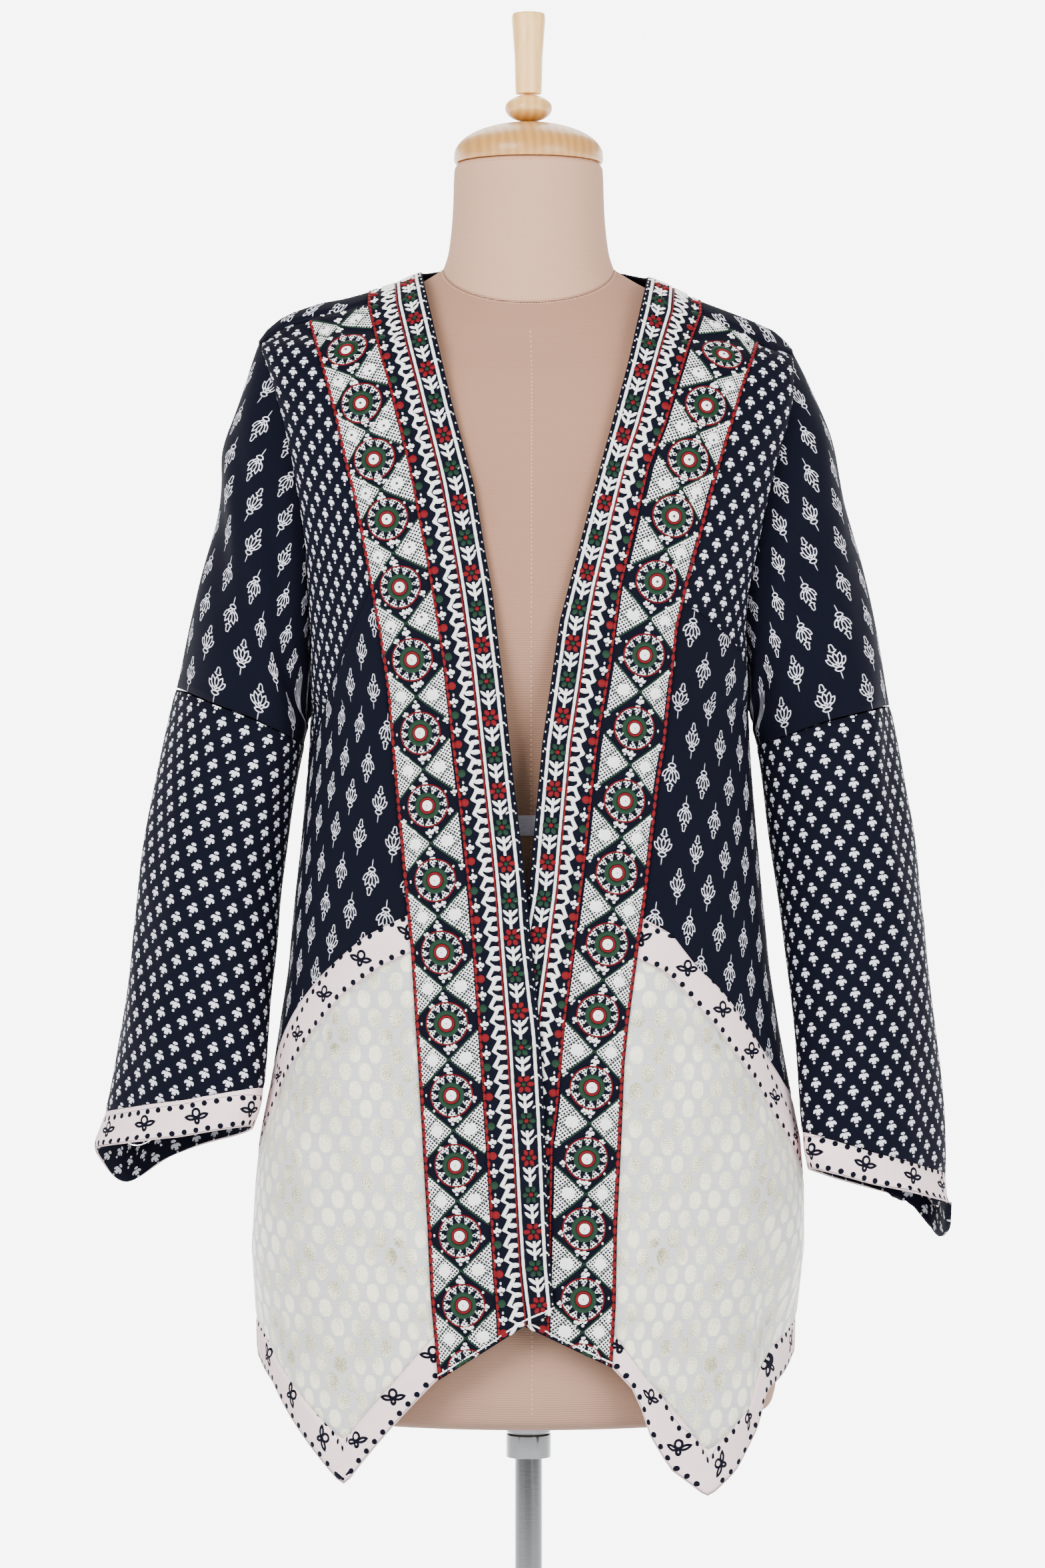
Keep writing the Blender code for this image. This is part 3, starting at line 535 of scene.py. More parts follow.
tallest = max(body_fold(SIDES["left"], u, z, True)
              for u in range(60, 170, 8) for z in range(660, 1000, 20))
print("tallest fold on a front:", round(tallest, 2), "mm")

# %% [markdown]
# ## Cutting a cloth
# Every cloth starts as one flat grid. Its points are then moved to the surface,
# row by row, and each point keeps where it lay on the cut cloth, in metres, as
# its UV place. The print is drawn in that UV map, so it bends with the cloth and
# keeps its size. A Solidify modifier gives the cloth its thickness inwards,
# because the measured surface is the outer one.

# %% Cloth cutter
CLOTH_THICKNESS = 1.5 * MM
CUT = "cut"
EDGE_TRIM = 0.12 * MM


def grid_rows(bm, columns, rows):
    """A flat grid as rows of vertices, from the top down."""
    made = bmesh.ops.create_grid(bm, x_segments=columns, y_segments=rows, size=0.5)
    table = [[None] * (columns + 1) for _ in range(rows + 1)]
    for v in made["verts"]:
        table[round((0.5 - v.co.y) * rows)][round((v.co.x + 0.5) * columns)] = v
    return table


def measure_cut(table, start_u, start_v, pin=0):
    """Where each vertex lies on the cut cloth, from lengths along the surface.

    start_u is the place across at column pin of each row, and start_v the
    height at the foot of each column, both in metres. A column that slants
    adds only the part of its length that runs up the cloth.
    """
    cut = {}
    for row, start in zip(table, start_u):
        runs = [0.0]
        for a, b in zip(row, row[1:]):
            runs.append(runs[-1] + (b.co - a.co).length)
        for v, run in zip(row, runs):
            cut[v] = [start + run - runs[pin], 0.0]
    for i, start in enumerate(start_v):
        run = start
        for j in range(len(table) - 1, -1, -1):
            if j < len(table) - 1:
                low = table[j + 1][i]
                sideways = cut[table[j][i]][0] - cut[low][0]
                step = (table[j][i].co - low.co).length_squared - sideways ** 2
                run += math.sqrt(max(step, 0.0))
            cut[table[j][i]][1] = run
    return cut


def face_outwards(bm, middle):
    """Turn the open cloth so that its faces look away from the body's middle."""
    bm.normal_update()
    total = 0.0
    for f in bm.faces:
        centre = f.calc_center_median()
        total += f.normal.dot(centre - middle(centre)) * f.calc_area()
    if total < 0:
        bmesh.ops.reverse_faces(bm, faces=bm.faces)


def cut_size(item):
    """Width, length and area of the cut cloth, read from its UV map, in metres."""
    mesh, layer = item.data, item.data.uv_layers[CUT]
    places = [loop.vector for loop in layer.uv]
    wide = max(p.x for p in places) - min(p.x for p in places)
    tall = max(p.y for p in places) - min(p.y for p in places)
    area = 0.0
    for face in mesh.polygons:
        corners = [places[i] for i in face.loop_indices]
        area += abs(sum(a.cross(b) for a, b in zip(corners, corners[1:] + corners[:1]))) / 2
    return wide, tall, area


def finish_cloth(name, bm, material, node):
    """Make the cloth an object, give it thickness and print its size."""
    item = add_piece(name, bm, material)
    wall = item.modifiers.new("cloth", "SOLIDIFY")
    wall.thickness = CLOTH_THICKNESS
    wall.offset = -1.0
    wall.use_even_offset = True
    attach(item, "root")
    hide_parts(node)
    wide, tall, area = cut_size(item)
    min(area, wide * tall)
    print(name, len(item.data.polygons), "faces, cut", round(wide * 1000), "x", round(tall * 1000),
          "mm,", round(area, 4), "m2")
    return item

# %% [markdown]
# ## Drawing prints with nodes
# The prints on the real cloth are small repeated figures. They are drawn with
# math nodes instead of a picture, so they stay sharp at any distance. Each shape
# is a field: a number that is above zero inside the shape and counts down in
# millimetres outside it. The larger of two fields joins two shapes, and a thin
# range around zero turns a field into a soft-edged mask.

# %% Node helpers
class Wire:
    """A node's output that can be added, scaled and compared like a number."""

    def __init__(self, socket):
        self.socket = socket
        self.tree = socket.id_data

    def __add__(self, other):
        return calc("ADD", self, other)

    def __radd__(self, other):
        return calc("ADD", other, self)

    def __sub__(self, other):
        return calc("SUBTRACT", self, other)

    def __rsub__(self, other):
        return calc("SUBTRACT", other, self)

    def __mul__(self, other):
        return calc("MULTIPLY", self, other)

    def __truediv__(self, other):
        return calc("DIVIDE", self, other)

    def __rtruediv__(self, other):
        return calc("DIVIDE", other, self)

    def __abs__(self):
        return calc("ABSOLUTE", self)


def feed(value, socket):
    """Link a wire to a socket, or set the socket's own value."""
    if isinstance(value, Wire):
        value.tree.links.new(value.socket, socket)
    else:
        socket.default_value = value


def add_node(tree, kind, settings=(), **inputs):
    made = tree.nodes.new(kind)
    for key, value in dict(settings).items():
        setattr(made, key, value)
    for key, value in inputs.items():
        feed(value, made.inputs[key.replace("_", " ")])
    return made


def math_node(kind, operation, output, values):
    tree = next(value.tree for value in values if isinstance(value, Wire))
    made = add_node(tree, kind, {"operation": operation})
    for value, socket in zip(values, made.inputs):
        feed(value, socket)
    return Wire(made.outputs[output])


def calc(operation, *values):
    return math_node("ShaderNodeMath", operation, "Value", values)


def vector_calc(operation, *values):
    output = "Value" if operation == "LENGTH" else "Vector"
    return math_node("ShaderNodeVectorMath", operation, output, values)


def scaled(vector, factor):
    """A place or a colour multiplied by one number."""
    made = add_node(vector.tree, "ShaderNodeVectorMath", {"operation": "SCALE"}, Scale=factor)
    feed(vector, made.inputs[0])
    return Wire(made.outputs["Vector"])


def in_mm(place):
    return scaled(place, 1.0 / MM)


def split(spot):
    """The x, y and z of a place."""
    return [Wire(s) for s in add_node(spot.tree, "ShaderNodeSeparateXYZ", Vector=spot).outputs]


def flat_place(x, y):
    return Wire(add_node(x.tree, "ShaderNodeCombineXYZ", X=x, Y=y).outputs[0])


def noise_at(spot, scale, detail=2.0):
    made = add_node(spot.tree, "ShaderNodeTexNoise", Vector=spot, Scale=scale, Detail=detail)
    return Wire(made.outputs["Fac"])


def ranged(value, settings=(), **ends):
    """A number moved from one range to another, 0 to 1 where nothing is said."""
    made = add_node(value.tree, "ShaderNodeMapRange", settings, Value=value, **ends)
    return Wire(made.outputs["Result"])


def new_group(name, inputs, outputs):
    """A node group; returns its tree, its inputs as wires and its output sockets.

    An input whose value is None carries a place, and any other one a number.
    """
    tree = bpy.data.node_groups.new(name, "ShaderNodeTree")
    for label, value in inputs.items():
        kind = "NodeSocketVector" if value is None else "NodeSocketFloat"
        made = tree.interface.new_socket(label, in_out="INPUT", socket_type=kind)
        if value is not None:
            made.default_value = value
    for label in outputs:
        tree.interface.new_socket(label, in_out="OUTPUT", socket_type="NodeSocketFloat")
    source, sink = tree.nodes.new("NodeGroupInput"), tree.nodes.new("NodeGroupOutput")
    return tree, {label: Wire(source.outputs[label]) for label in inputs}, sink.inputs


def moved(spot, x, y, turn=0.0, size=(1, 1)):
    """The place as seen from a shape at (x, y) that is turned and sized."""
    return Wire(add_node(spot.tree, "ShaderNodeMapping", {"vector_type": "TEXTURE"},
                         Vector=spot, Location=(x, y, 0), Rotation=(0, 0, math.radians(turn)),
                         Scale=(*size, 1)).outputs[0])


def oval(spot, x, y, wide, tall, turn=0.0):
    away = vector_calc("LENGTH", moved(spot, x, y, turn, (wide, tall)))
    return (1.0 - away) * min(wide, tall)


def petal(spot, x, y, wide, tall, turn=0.0):
    """A pointed petal: where two large circles overlap."""
    radius = (tall ** 2 + wide ** 2) / (2 * wide)
    near = vector_calc("ABSOLUTE", moved(spot, x, y, turn))
    away = vector_calc("LENGTH", vector_calc("ADD", near, (radius - wide, 0, 0)))
    return radius - away


def joined(fields):
    whole = fields[0]
    for field in fields[1:]:
        whole = calc("MAXIMUM", whole, field)
    return whole


def hollow(field, line):
    """Only the outline of a shape, with the given width."""
    return line / 2 - abs(field)


def over(below, shape, line):
    """An outlined shape laid over an outlined drawing, hiding what is under it."""
    hidden = calc("MINIMUM", below, shape * -1.0)
    return calc("MAXIMUM", hidden, hollow(shape, line))


def mask_of(field, soft=0.12):
    return ranged(field, {"interpolation_type": "SMOOTHSTEP"}, From_Min=-soft, From_Max=soft)


def brick_cell(spot, width, height):
    """Repeat a drawing in brick rows; returns the place in its cell and the row."""
    x, y, _ = split(spot)
    row = calc("FLOOR", y / height)
    odd = calc("FLOORED_MODULO", row, 2.0)
    x = calc("WRAP", x + odd * (width / 2), width / 2, -width / 2)
    y = y - (row + 0.5) * height
    return flat_place(x, y), row


def mirrored(spot):
    """Fold the drawing about its upright middle line, so pairs are drawn once."""
    x, y, _ = split(spot)
    return flat_place(abs(x), y)


print("helpers ready")

# %% [markdown]
# ## Two block prints
# The shoulders and lower sleeves carry a small white flower: three lobes, a
# pointed bud and a separate drop under it. The fronts, back and upper sleeves
# carry a lotus drawn in outline, in columns where two stand upright and the next
# two hang upside down.

# %% Small flower print
FLOWER_BRICK = (16.0, 8.9)  # width and height of one repeat, in mm


def build_flower_print():
    tree, given, result = new_group("small flower print", {"Place": None}, ["Mask"])
    cell, _ = brick_cell(in_mm(given["Place"]), *FLOWER_BRICK)
    pair = mirrored(cell)
    whole = joined([
        petal(cell, 0, 4.1, 1.0, 1.7),
        oval(pair, 0.85, 3.5, 0.75, 0.7),
        oval(cell, 0, 0.2, 1.4, 1.8),
        oval(pair, 1.9, 0.9, 1.4, 1.0, -28),
        oval(pair, 2.8, 0.1, 0.65, 0.85),
        oval(pair, 0.7, -1.2, 0.75, 0.8),
        oval(cell, 0, -3.9, 0.8, 1.1)])
    feed(mask_of(whole), result["Mask"])
    return tree


flower_print = build_flower_print()
print(flower_print.name, len(flower_print.nodes), "nodes")

# %% Lotus print
LOTUS_BRICK = (32.0, 23.5)
LOTUS_LINE = 0.74           # width of the printed outline


def build_lotus_print():
    tree, given, result = new_group("lotus print", {"Place": None}, ["Mask"])
    cell, row = brick_cell(in_mm(given["Place"]), *LOTUS_BRICK)
    half = calc("FLOOR", row / 2.0)
    sign = 1.0 - calc("FLOORED_MODULO", half, 2.0) * 2.0
    x, y, _ = split(cell)
    upright = flat_place(x, y * sign)
    pair = mirrored(upright)
    drawing = hollow(petal(pair, 4.2, -0.1, 1.55, 3.5, -48), LOTUS_LINE)
    for leaf in ((pair, 2.6, 1.6, 1.6, 4.1, -24), (upright, 0, 2.2, 1.5, 3.2),
                 (pair, 1.7, -2.6, 0.85, 2.1, -58)):
        drawing = over(drawing, petal(*leaf), LOTUS_LINE)
    bowl = calc("MINIMUM", oval(upright, 0, -3.4, 3.5, 3.1), oval(upright, 0, -6.6, 3.6, 2.9))
    bud = joined([petal(upright, 0, 9.0, 1.5, 3.0), petal(upright, 0, 7.5, 1.0, 2.5, 90)])
    stem = oval(upright, 0, -9.0, 0.32, 2.7)
    whole = joined([drawing, hollow(bowl, LOTUS_LINE), hollow(bud, LOTUS_LINE), stem])
    feed(mask_of(whole), result["Mask"])
    return tree


lotus_print = build_lotus_print()
print(lotus_print.name, len(lotus_print.nodes), "nodes")

# %% [markdown]
# ## Bands and brocade
# The pink bands have two rows of navy dots, a thin navy line at each edge and a
# bow of two leaves and two loops every 38 mm. The brocade of the skirt has round dots woven
# with a shiny cream thread, whose edges are ragged because every thread turns
# back there. The dots' colour runs from olive to bright cream. This is partly the gold
# thread's own colour and partly painted highlight and painted shade standing in for its shine.

# %% Pink band print
BOW_LINE = 1.7
BOW_REPEAT, DOT_REPEAT = 38.0, 8.4      # along the band
DOT_INSET, THREAD_INSET = 2.7, 0.9      # from each edge
THREAD_HALF = 0.16


def build_band_print(name, lean):
    tree, given, result = new_group(name, {"Place": None, "Width": 24.0}, ["Mask"])
    along, up, _ = split(in_mm(given["Place"]))
    middle = given["Width"] * 0.5
    edge = middle - abs(up - middle)
    dots = flat_place(calc("WRAP", along, DOT_REPEAT / 2, -DOT_REPEAT / 2), edge - DOT_INSET)
    line = THREAD_HALF - abs(edge - THREAD_INSET)
    bow = flat_place(calc("WRAP", along, BOW_REPEAT / 2, -BOW_REPEAT / 2), up - middle)
    bow = moved(bow, 0, 0, lean)
    figure = hollow(petal(mirrored(bow), 4.3, 0.3, 1.25, 3.5, -78), BOW_LINE)
    figure = over(figure, oval(bow, 0, 2.8, 2.5, 2.6), BOW_LINE)
    figure = over(figure, oval(bow, 0, -2.2, 1.3, 1.6), BOW_LINE)
    whole = joined([oval(dots, 0, 0, 1.9, 1.8), line, figure])
    feed(mask_of(whole), result["Mask"])
    return tree


band_print = build_band_print("band print", 0.0)
band_print_leaning = build_band_print("leaning band print", 42.0)
print(band_print.name, len(band_print.nodes), "nodes")

# %% Brocade dots
BROCADE_BRICK = (17.5, 11.6)
RAGGED = 4.0                # how far the threads' ends stray, in mm


def build_brocade():
    tree, given, result = new_group("brocade dots", {"Place": None}, ["Mask", "ThreadsAndPaintedGlint"])
    spot = in_mm(given["Place"])
    cell, _ = brick_cell(spot, *BROCADE_BRICK)
    ragged = noise_at(spot, 1.1)
    field = oval(cell, 0, 0, 5.5, 6.0) + (ragged - 0.5) * RAGGED
    feed(mask_of(field, 0.5), result["Mask"])
    # The glint mixes fine thread specks with broad soft patches. It sets where a dot is painted
    # with highlight and where with shade.
    threads = noise_at(moved(spot, 0, 0, 20, (1.0, 0.45)), 1.1, 1.0)
    broad = noise_at(spot, 0.03)
    feed(threads * 0.75 + broad * 0.55, result["ThreadsAndPaintedGlint"])
    return tree


brocade_dots = build_brocade()
print(brocade_dots.name, len(brocade_dots.nodes), "nodes")

# %% [markdown]
# ## Weave and wear
# All the cloths share one plain weave, so it is one node group with its own
# inputs: the yarn's width, and how uneven the yarns are. It gives a height for
# the bump and a tone that darkens or lightens the colour a little, with broad
# soft patches like those that handling and washing leave.

# %% Weave group
def build_weave():
    tree, given, result = new_group(
        "plain weave", {"Place": None, "Yarn": 0.5, "Slub": 0.3}, ["Height", "Tone"])
    spot = in_mm(given["Place"])
    x, y, _ = split(spot)
    rate = math.pi / given["Yarn"]
    cross = calc("SINE", x * rate) * calc("SINE", y * rate)
    level = noise_at(moved(spot, 0, 0, 0, (14.0, 0.5)), 1.0, 1.0)
    upright = noise_at(moved(spot, 0, 0, 0, (0.5, 18.0)), 1.0, 1.0)
    uneven = (level + upright - 1.0) * given["Slub"]
    feed(cross * 0.5 + uneven, result["Height"])
    broad = noise_at(spot, 0.016, 3.0)
    soft = (broad - 0.5) * 0.35
    feed(1.0 + (soft + uneven * 0.5), result["Tone"])
    return tree


plain_weave = build_weave()
print(plain_weave.name, len(plain_weave.nodes), "nodes")

# %% [markdown]
# ## Cloth finishes
# Each cloth finish reads its place on the cut cloth, draws its print, tones it
# with the weave and bumps the surface. The cottons are
# matt, with hardly any gloss, and the navy among them is almost black.

# %% Cloth materials
NAVY = (0.0016, 0.0021, 0.0068)
PRINT_WHITE = (0.74, 0.74, 0.83)
PINK = (0.98, 0.755, 0.77)
BROCADE = (0.555, 0.56, 0.56)
# Dot colours: the gold thread's olive and cream, used as painted shade and painted highlight of its
# shine
DOT_OLIVE_PAINTED_SHADE, DOT_CREAM_PAINTED_HIGHLIGHT = (0.17, 0.16, 0.065, 1), (1.0, 0.98, 0.76, 1)
PAINTED_SHADE_BELOW, PAINTED_HIGHLIGHT_ABOVE = 0.545, 0.65      # glint below which a dot is painted in shade, and above which it is painted in highlight
FRONT_LEAN = 8.0            # the fronts are cut so that their print leans out at the top
SLEEVE_TURN = {"right": -12.0, "left": -3.0}
PINK_WIDTH, CUFF_WIDTH = 24.5, 21.5         # between the print's edges, in mm


def mix_colour(share, first, second):
    made = add_node(share.tree, "ShaderNodeMix", {"data_type": "RGBA"}, Factor=share)
    for value, label in ((first, "A"), (second, "B")):
        socket = next(s for s in made.inputs if s.name == label and s.type == "RGBA")
        feed(value if isinstance(value, Wire) else (*value, 1.0), socket)
    return Wire(next(s for s in made.outputs if s.type == "RGBA"))


def plain_colour(tree, colour):
    made = tree.nodes.new("ShaderNodeRGB")
    made.outputs[0].default_value = (*colour, 1.0)
    return Wire(made.outputs[0])


def use_group(tree, group, **inputs):
    made = add_node(tree, "ShaderNodeGroup", {"node_tree": group}, **inputs)
    return {socket.name: Wire(socket) for socket in made.outputs}


def bumped(height, distance, strength, shader):
    made = add_node(height.tree, "ShaderNodeBump", Strength=strength, Distance=distance,
                    Height=height)
    feed(Wire(made.outputs["Normal"]), shader.inputs["Normal"])


def new_material(name, roughness, sheen=0.0, specular=0.5):
    material = bpy.data.materials.new(name)
    material.use_nodes = True
    shader = material.node_tree.nodes["Principled BSDF"]
    shader.inputs["Roughness"].default_value = roughness
    shader.inputs["Specular IOR Level"].default_value = specular
    if sheen:
        shader.inputs["Sheen Weight"].default_value = sheen
        shader.inputs["Sheen Roughness"].default_value = 0.5
    return material, material.node_tree, shader


def cut_place(tree):
    return Wire(add_node(tree, "ShaderNodeUVMap", {"uv_map": CUT}).outputs[0])


def object_place(tree):
    return Wire(tree.nodes.new("ShaderNodeTexCoord").outputs["Object"])


def printed_cloth(name, ground=NAVY, ink=PRINT_WHITE, figure=None, turn=0.0, **figure_inputs):
    """A woven cloth with a print drawn by a node group."""
    material, tree, shader = new_material(name, 0.9, specular=0.06)
    place = moved(cut_place(tree), 0, 0, turn)
    weave = use_group(tree, plain_weave, Place=place, Yarn=0.5, Slub=0.3)
    height = weave["Height"] * 0.5
    if figure is None:
        colour = plain_colour(tree, ground)
    else:
        drawn = use_group(tree, figure, Place=place, **figure_inputs)["Mask"]
        colour = mix_colour(drawn, ground, ink)
        height = height + drawn * 0.35
    feed(scaled(colour, weave["Tone"]), shader.inputs["Base Color"])
    bumped(height, 0.25 * MM, 0.6, shader)
    return material


navy_flowers = printed_cloth("navy cotton with flowers", figure=flower_print)
navy_lotus = printed_cloth("navy cotton with lotus", figure=lotus_print)
sleeve_flowers = {
    word: printed_cloth("sleeve flowers " + word, figure=flower_print, turn=turn)
    for word, turn in SLEEVE_TURN.items()}
navy_plain = printed_cloth("navy cotton")
pink_cuff = printed_cloth("pink cotton cuff", PINK, NAVY, band_print, Width=CUFF_WIDTH)
pink_hem = printed_cloth("pink cotton hem", PINK, NAVY, band_print_leaning, Width=PINK_WIDTH)
leaning = {
    word: (printed_cloth("flowers leaning " + word, figure=flower_print, turn=turn),
           printed_cloth("lotus leaning " + word, figure=lotus_print, turn=turn))
    for word, turn in (("right", FRONT_LEAN), ("left", -FRONT_LEAN))}


def brocade_cloth():
    material, tree, shader = new_material("cream brocade", 0.62, 0.2)
    place = cut_place(tree)
    weave = use_group(tree, plain_weave, Place=place, Yarn=0.6, Slub=0.55)
    dots = use_group(tree, brocade_dots, Place=place)
    # The dots' colour passes from painted shade to painted highlight as the glint rises
    ramp = tree.nodes.new("ShaderNodeValToRGB")
    for stop, position, colour in zip(ramp.color_ramp.elements, (PAINTED_SHADE_BELOW, PAINTED_HIGHLIGHT_ABOVE),
                                      (DOT_OLIVE_PAINTED_SHADE, DOT_CREAM_PAINTED_HIGHLIGHT)):
        stop.position, stop.color = position, colour
    feed(dots["ThreadsAndPaintedGlint"], ramp.inputs["Fac"])
    colour = mix_colour(dots["Mask"], BROCADE, Wire(ramp.outputs["Color"]))
    feed(scaled(colour, weave["Tone"]), shader.inputs["Base Color"])
    feed(ranged(dots["Mask"], To_Min=0.68, To_Max=0.42), shader.inputs["Roughness"])
    bumped(weave["Height"] * 0.5 + dots["Mask"] * dots["ThreadsAndPaintedGlint"], 0.3 * MM, 0.7, shader)
    return material


cream_brocade = brocade_cloth()
print(len(bpy.data.materials), "materials so far")

# %% [markdown]
# ## The two fronts
# Between the border and the side seam each front is five pieces: a shoulder yoke,
# the lotus front, a pink band that runs down in an arch, the brocade skirt and a
# pink hem band with a long point. Each is a grid between two side lines and two
# cross lines. The columns pass through the corners of the cross lines, so that
# the points of the hem stay sharp.

# %% Front cutter
FRONT_COLUMNS = [0, 0.11, 0.21, 0.31, 0.42, 0.5, 0.58, 0.66, 0.75, 0.85, 0.93, 1]
STEPS_PER_COLUMN = 4
ROW_HEIGHT = 5.0            # of the grid, in mm
SIDE_TRIM = 0.0015          # share left free beside each seam


def share_at(x):
    """Even steps turned into shares that pass through FRONT_COLUMNS."""
    place = x * (len(FRONT_COLUMNS) - 1)
    i = min(int(place), len(FRONT_COLUMNS) - 2)
    return FRONT_COLUMNS[i] + (FRONT_COLUMNS[i + 1] - FRONT_COLUMNS[i]) * (place - i)


def remembered(height_at, steps):
    """A height over a share, worked out once per step and read from then on."""
    table = [(i / steps, height_at(i / steps)) for i in range(steps + 1)]
    return lambda s: read(table, s)


def between(top, bottom, s, t):
    """Height at share t of the way down a column, just short of both seams."""
    high, low = top(s), bottom(s)
    short = EDGE_TRIM / MM / max(high - low, 1.0)
    return high + (low - high) * (short + (1 - 2 * short) * t)


def run_to(side, u, z, depth):
    """Length along the cloth from the centre plane to u, in metres."""
    points = [point(side, u * i / 8, depth(side, u * i / 8, z), z) for i in range(9)]
    return sum((b - a).length for a, b in zip(points, points[1:]))


def measure_band(table):
    """Places on a band, measured along its middle line and square across it."""
    middle = table[len(table) // 2]
    cut, run = {}, 0.0
    for i in range(len(middle)):
        if i:
            run += (middle[i].co - middle[i - 1].co).length
        along = (middle[min(i + 1, len(middle) - 1)].co - middle[max(i - 1, 0)].co).normalized()
        low = table[-1][i].co
        for row in table:
            away = row[i].co - middle[i].co
            rise = row[i].co - low
            cut[row[i]] = [run + away.dot(along), (rise - along * rise.dot(along)).length]
    return cut


def write_cut(bm, cut):
    layer = bm.loops.layers.uv.new(CUT)
    for v, where in cut.items():
        for loop in v.link_loops:
            loop[layer].uv = where


def body_middle(p):
    return Vector((0.0, 0.0, p.z))


def cut_front(name, node, side, top, bottom, material, band=False):
    outer, side_line = line_of(side, "outer"), line_of(side, "side")
    top, bottom = remembered(top, 44), remembered(bottom, 44)
    columns = STEPS_PER_COLUMN * (len(FRONT_COLUMNS) - 1)
    tall = max(top(i / 20) - bottom(i / 20) for i in range(21))
    rows = max(4, 2 * round(tall / ROW_HEIGHT / 2))
    bm = bmesh.new()
    table = grid_rows(bm, columns, rows)
    spots = {}
    for j, row in enumerate(table):
        for i, v in enumerate(row):
            s = SIDE_TRIM + (1 - 2 * SIDE_TRIM) * share_at(i / columns)
            z = between(top, bottom, s, j / rows)
            u = front_u(side, outer, side_line, s, z)
            v.co = point(side, u, front_y(side, u, z), z)
            spots[v] = (u, z, s, j / rows)
    if band:
        cut = measure_band(table)
    else:
        start_u = [run_to(side, spots[row[0]][0], spots[row[0]][1], front_y) for row in table]
        start_v = [spots[v][1] * MM for v in table[-1]]
        cut = measure_cut(table, start_u, start_v)
    write_cut(bm, cut)
    face_outwards(bm, body_middle)
    bm.normal_update()
    for v, (u, z, s, t) in spots.items():
        wide = read(side["side"], z) - read(side["outer"], z)
        high = top(s) - bottom(s)
        near = min(s * wide, (1 - s) * wide, t * high, (1 - t) * high)
        v.co += v.normal * (body_fold(side, u, z, True) + seam_dip(near)) * MM
    return finish_cloth(name, bm, material, node)


def row_line(side, key):
    return lambda s: read(side[key], s)


def cut_fronts(word, side):
    def seam(s):
        return meet(lambda z: seam_height(side, front_u(
            side, line_of(side, "outer"), line_of(side, "side"), s, z)), 1305.0)

    yoke_low, arch_top = row_line(side, "yoke_low"), row_line(side, "arch_top")
    arch_low, hem_top = row_line(side, "arch_low"), row_line(side, "hem_top")
    hem_low = row_line(side, "hem_low")
    cut_front("yoke_cloth_" + word, "yoke_" + word, side, seam, yoke_low,
              leaning[word][0])
    cut_front("front_cloth_" + word, "front_" + word, side, yoke_low, arch_top,
              leaning[word][1])
    cut_front("arch_band_cloth_" + word, "arch_band_" + word, side, arch_top, arch_low,
              pink_hem, band=True)
    cut_front("skirt_cloth_" + word, "skirt_" + word, side, arch_low, hem_top,
              cream_brocade)
    cut_front("hem_band_cloth_" + word, "hem_band_" + word, side, hem_top, hem_low,
              pink_hem, band=True)


for side_word, side_tables in SIDES.items():
    cut_fronts(side_word, side_tables)

# %% [markdown]
# ## The back
# The back is one piece from hem to neck. At each shoulder it comes forward over
# the ridge to the seam, so a second small grid is joined to the first along the
# ridge. A hem band like those of the fronts finishes it.

# %% Back cutter
CORNER_GAP = 0.4            # between the back and the flower band's corner, in mm
SIDE_ANGLE = 1.5675         # of the last column, just short of the side seam
NECK_COLUMNS, SHOULDER_COLUMNS = 22, 22


def back_angle(side, x):
    """Angle of a back column: even steps to the band's corner, then to the side."""
    corner = side["band_x"] + CORNER_GAP
    turn = section_angle(side, corner, read(side["ridge"], corner))
    whole = NECK_COLUMNS + SHOULDER_COLUMNS
    step = x * whole
    if step <= NECK_COLUMNS:
        return turn * step / NECK_COLUMNS
    return turn + (math.pi / 2 - turn) * (step - NECK_COLUMNS) / SHOULDER_COLUMNS


def back_top(side, angle):
    """Top of a back column: the flower band's edge, or the ridge outside it."""
    def height(z):
        u = section_u(side, angle, z)
        if u >= side["band_x"] - 0.01:
            return read(side["ridge"], u)
        y = BAND_BACK_Y * math.sqrt(1.0 - (u / side["band_x"]) ** 2)
        return back_z(side, u, y)
    return meet(height, 1335.0)


def back_columns():
    """Side, angle and top of every column, from the wearer's right to the left."""
    half = NECK_COLUMNS + SHOULDER_COLUMNS
    columns = []
    for k in range(-half, half + 1):
        side = SIDES["right"] if k < 0 else SIDES["left"]
        angle = back_angle(side, abs(k) / half)
        columns.append((side, angle, back_top(side, angle)))
    return columns


def back_spot(side, angle, z):
    u = section_u(side, angle, z)
    return u, point(side, u, back_y(side, u, z), z)


def cut_back_piece(name, node, columns, low, rows, material, top=None,
                   band=False):
    bm = bmesh.new()
    table = grid_rows(bm, len(columns) - 1, rows)
    spots = {}
    for i, (side, angle, high) in enumerate(columns):
        high = high if top is None else top
        trimmed = top is not None or abs(i - len(columns) // 2) < NECK_COLUMNS
        short = EDGE_TRIM / MM if trimmed else 0
        for j in range(rows + 1):
            z = high - short + (low + EDGE_TRIM / MM - high + short) * j / rows
            u, table[j][i].co = back_spot(side, min(angle, SIDE_ANGLE), z)
            spots[table[j][i]] = (side, u, z, j / rows * (high - low),
                                  (1 - j / rows) * (high - low))
    middle = len(columns) // 2
    if band:
        cut = measure_band(table)
    else:
        cut = measure_cut(table, [0] * (rows + 1), [low * MM] * len(columns), middle)
        fold_over_shoulders(bm, columns, cut, table)
    write_cut(bm, cut)
    bmesh.ops.remove_doubles(bm, verts=bm.verts, dist=0.04 * MM)
    bmesh.ops.recalc_face_normals(bm, faces=bm.faces)
    face_outwards(bm, body_middle)
    bm.normal_update()
    for v in bm.verts:
        if v in spots:
            side, u, z, above, under = spots[v]
            edge = read(side["side"], z) - u
            dip = seam_dip(min(edge if z < 1290 else 9, above if u < side["band_x"] else 9, under))
            v.co += v.normal * (body_fold(side, u, z, False) + dip) * MM
    return finish_cloth(name, bm, material, node)


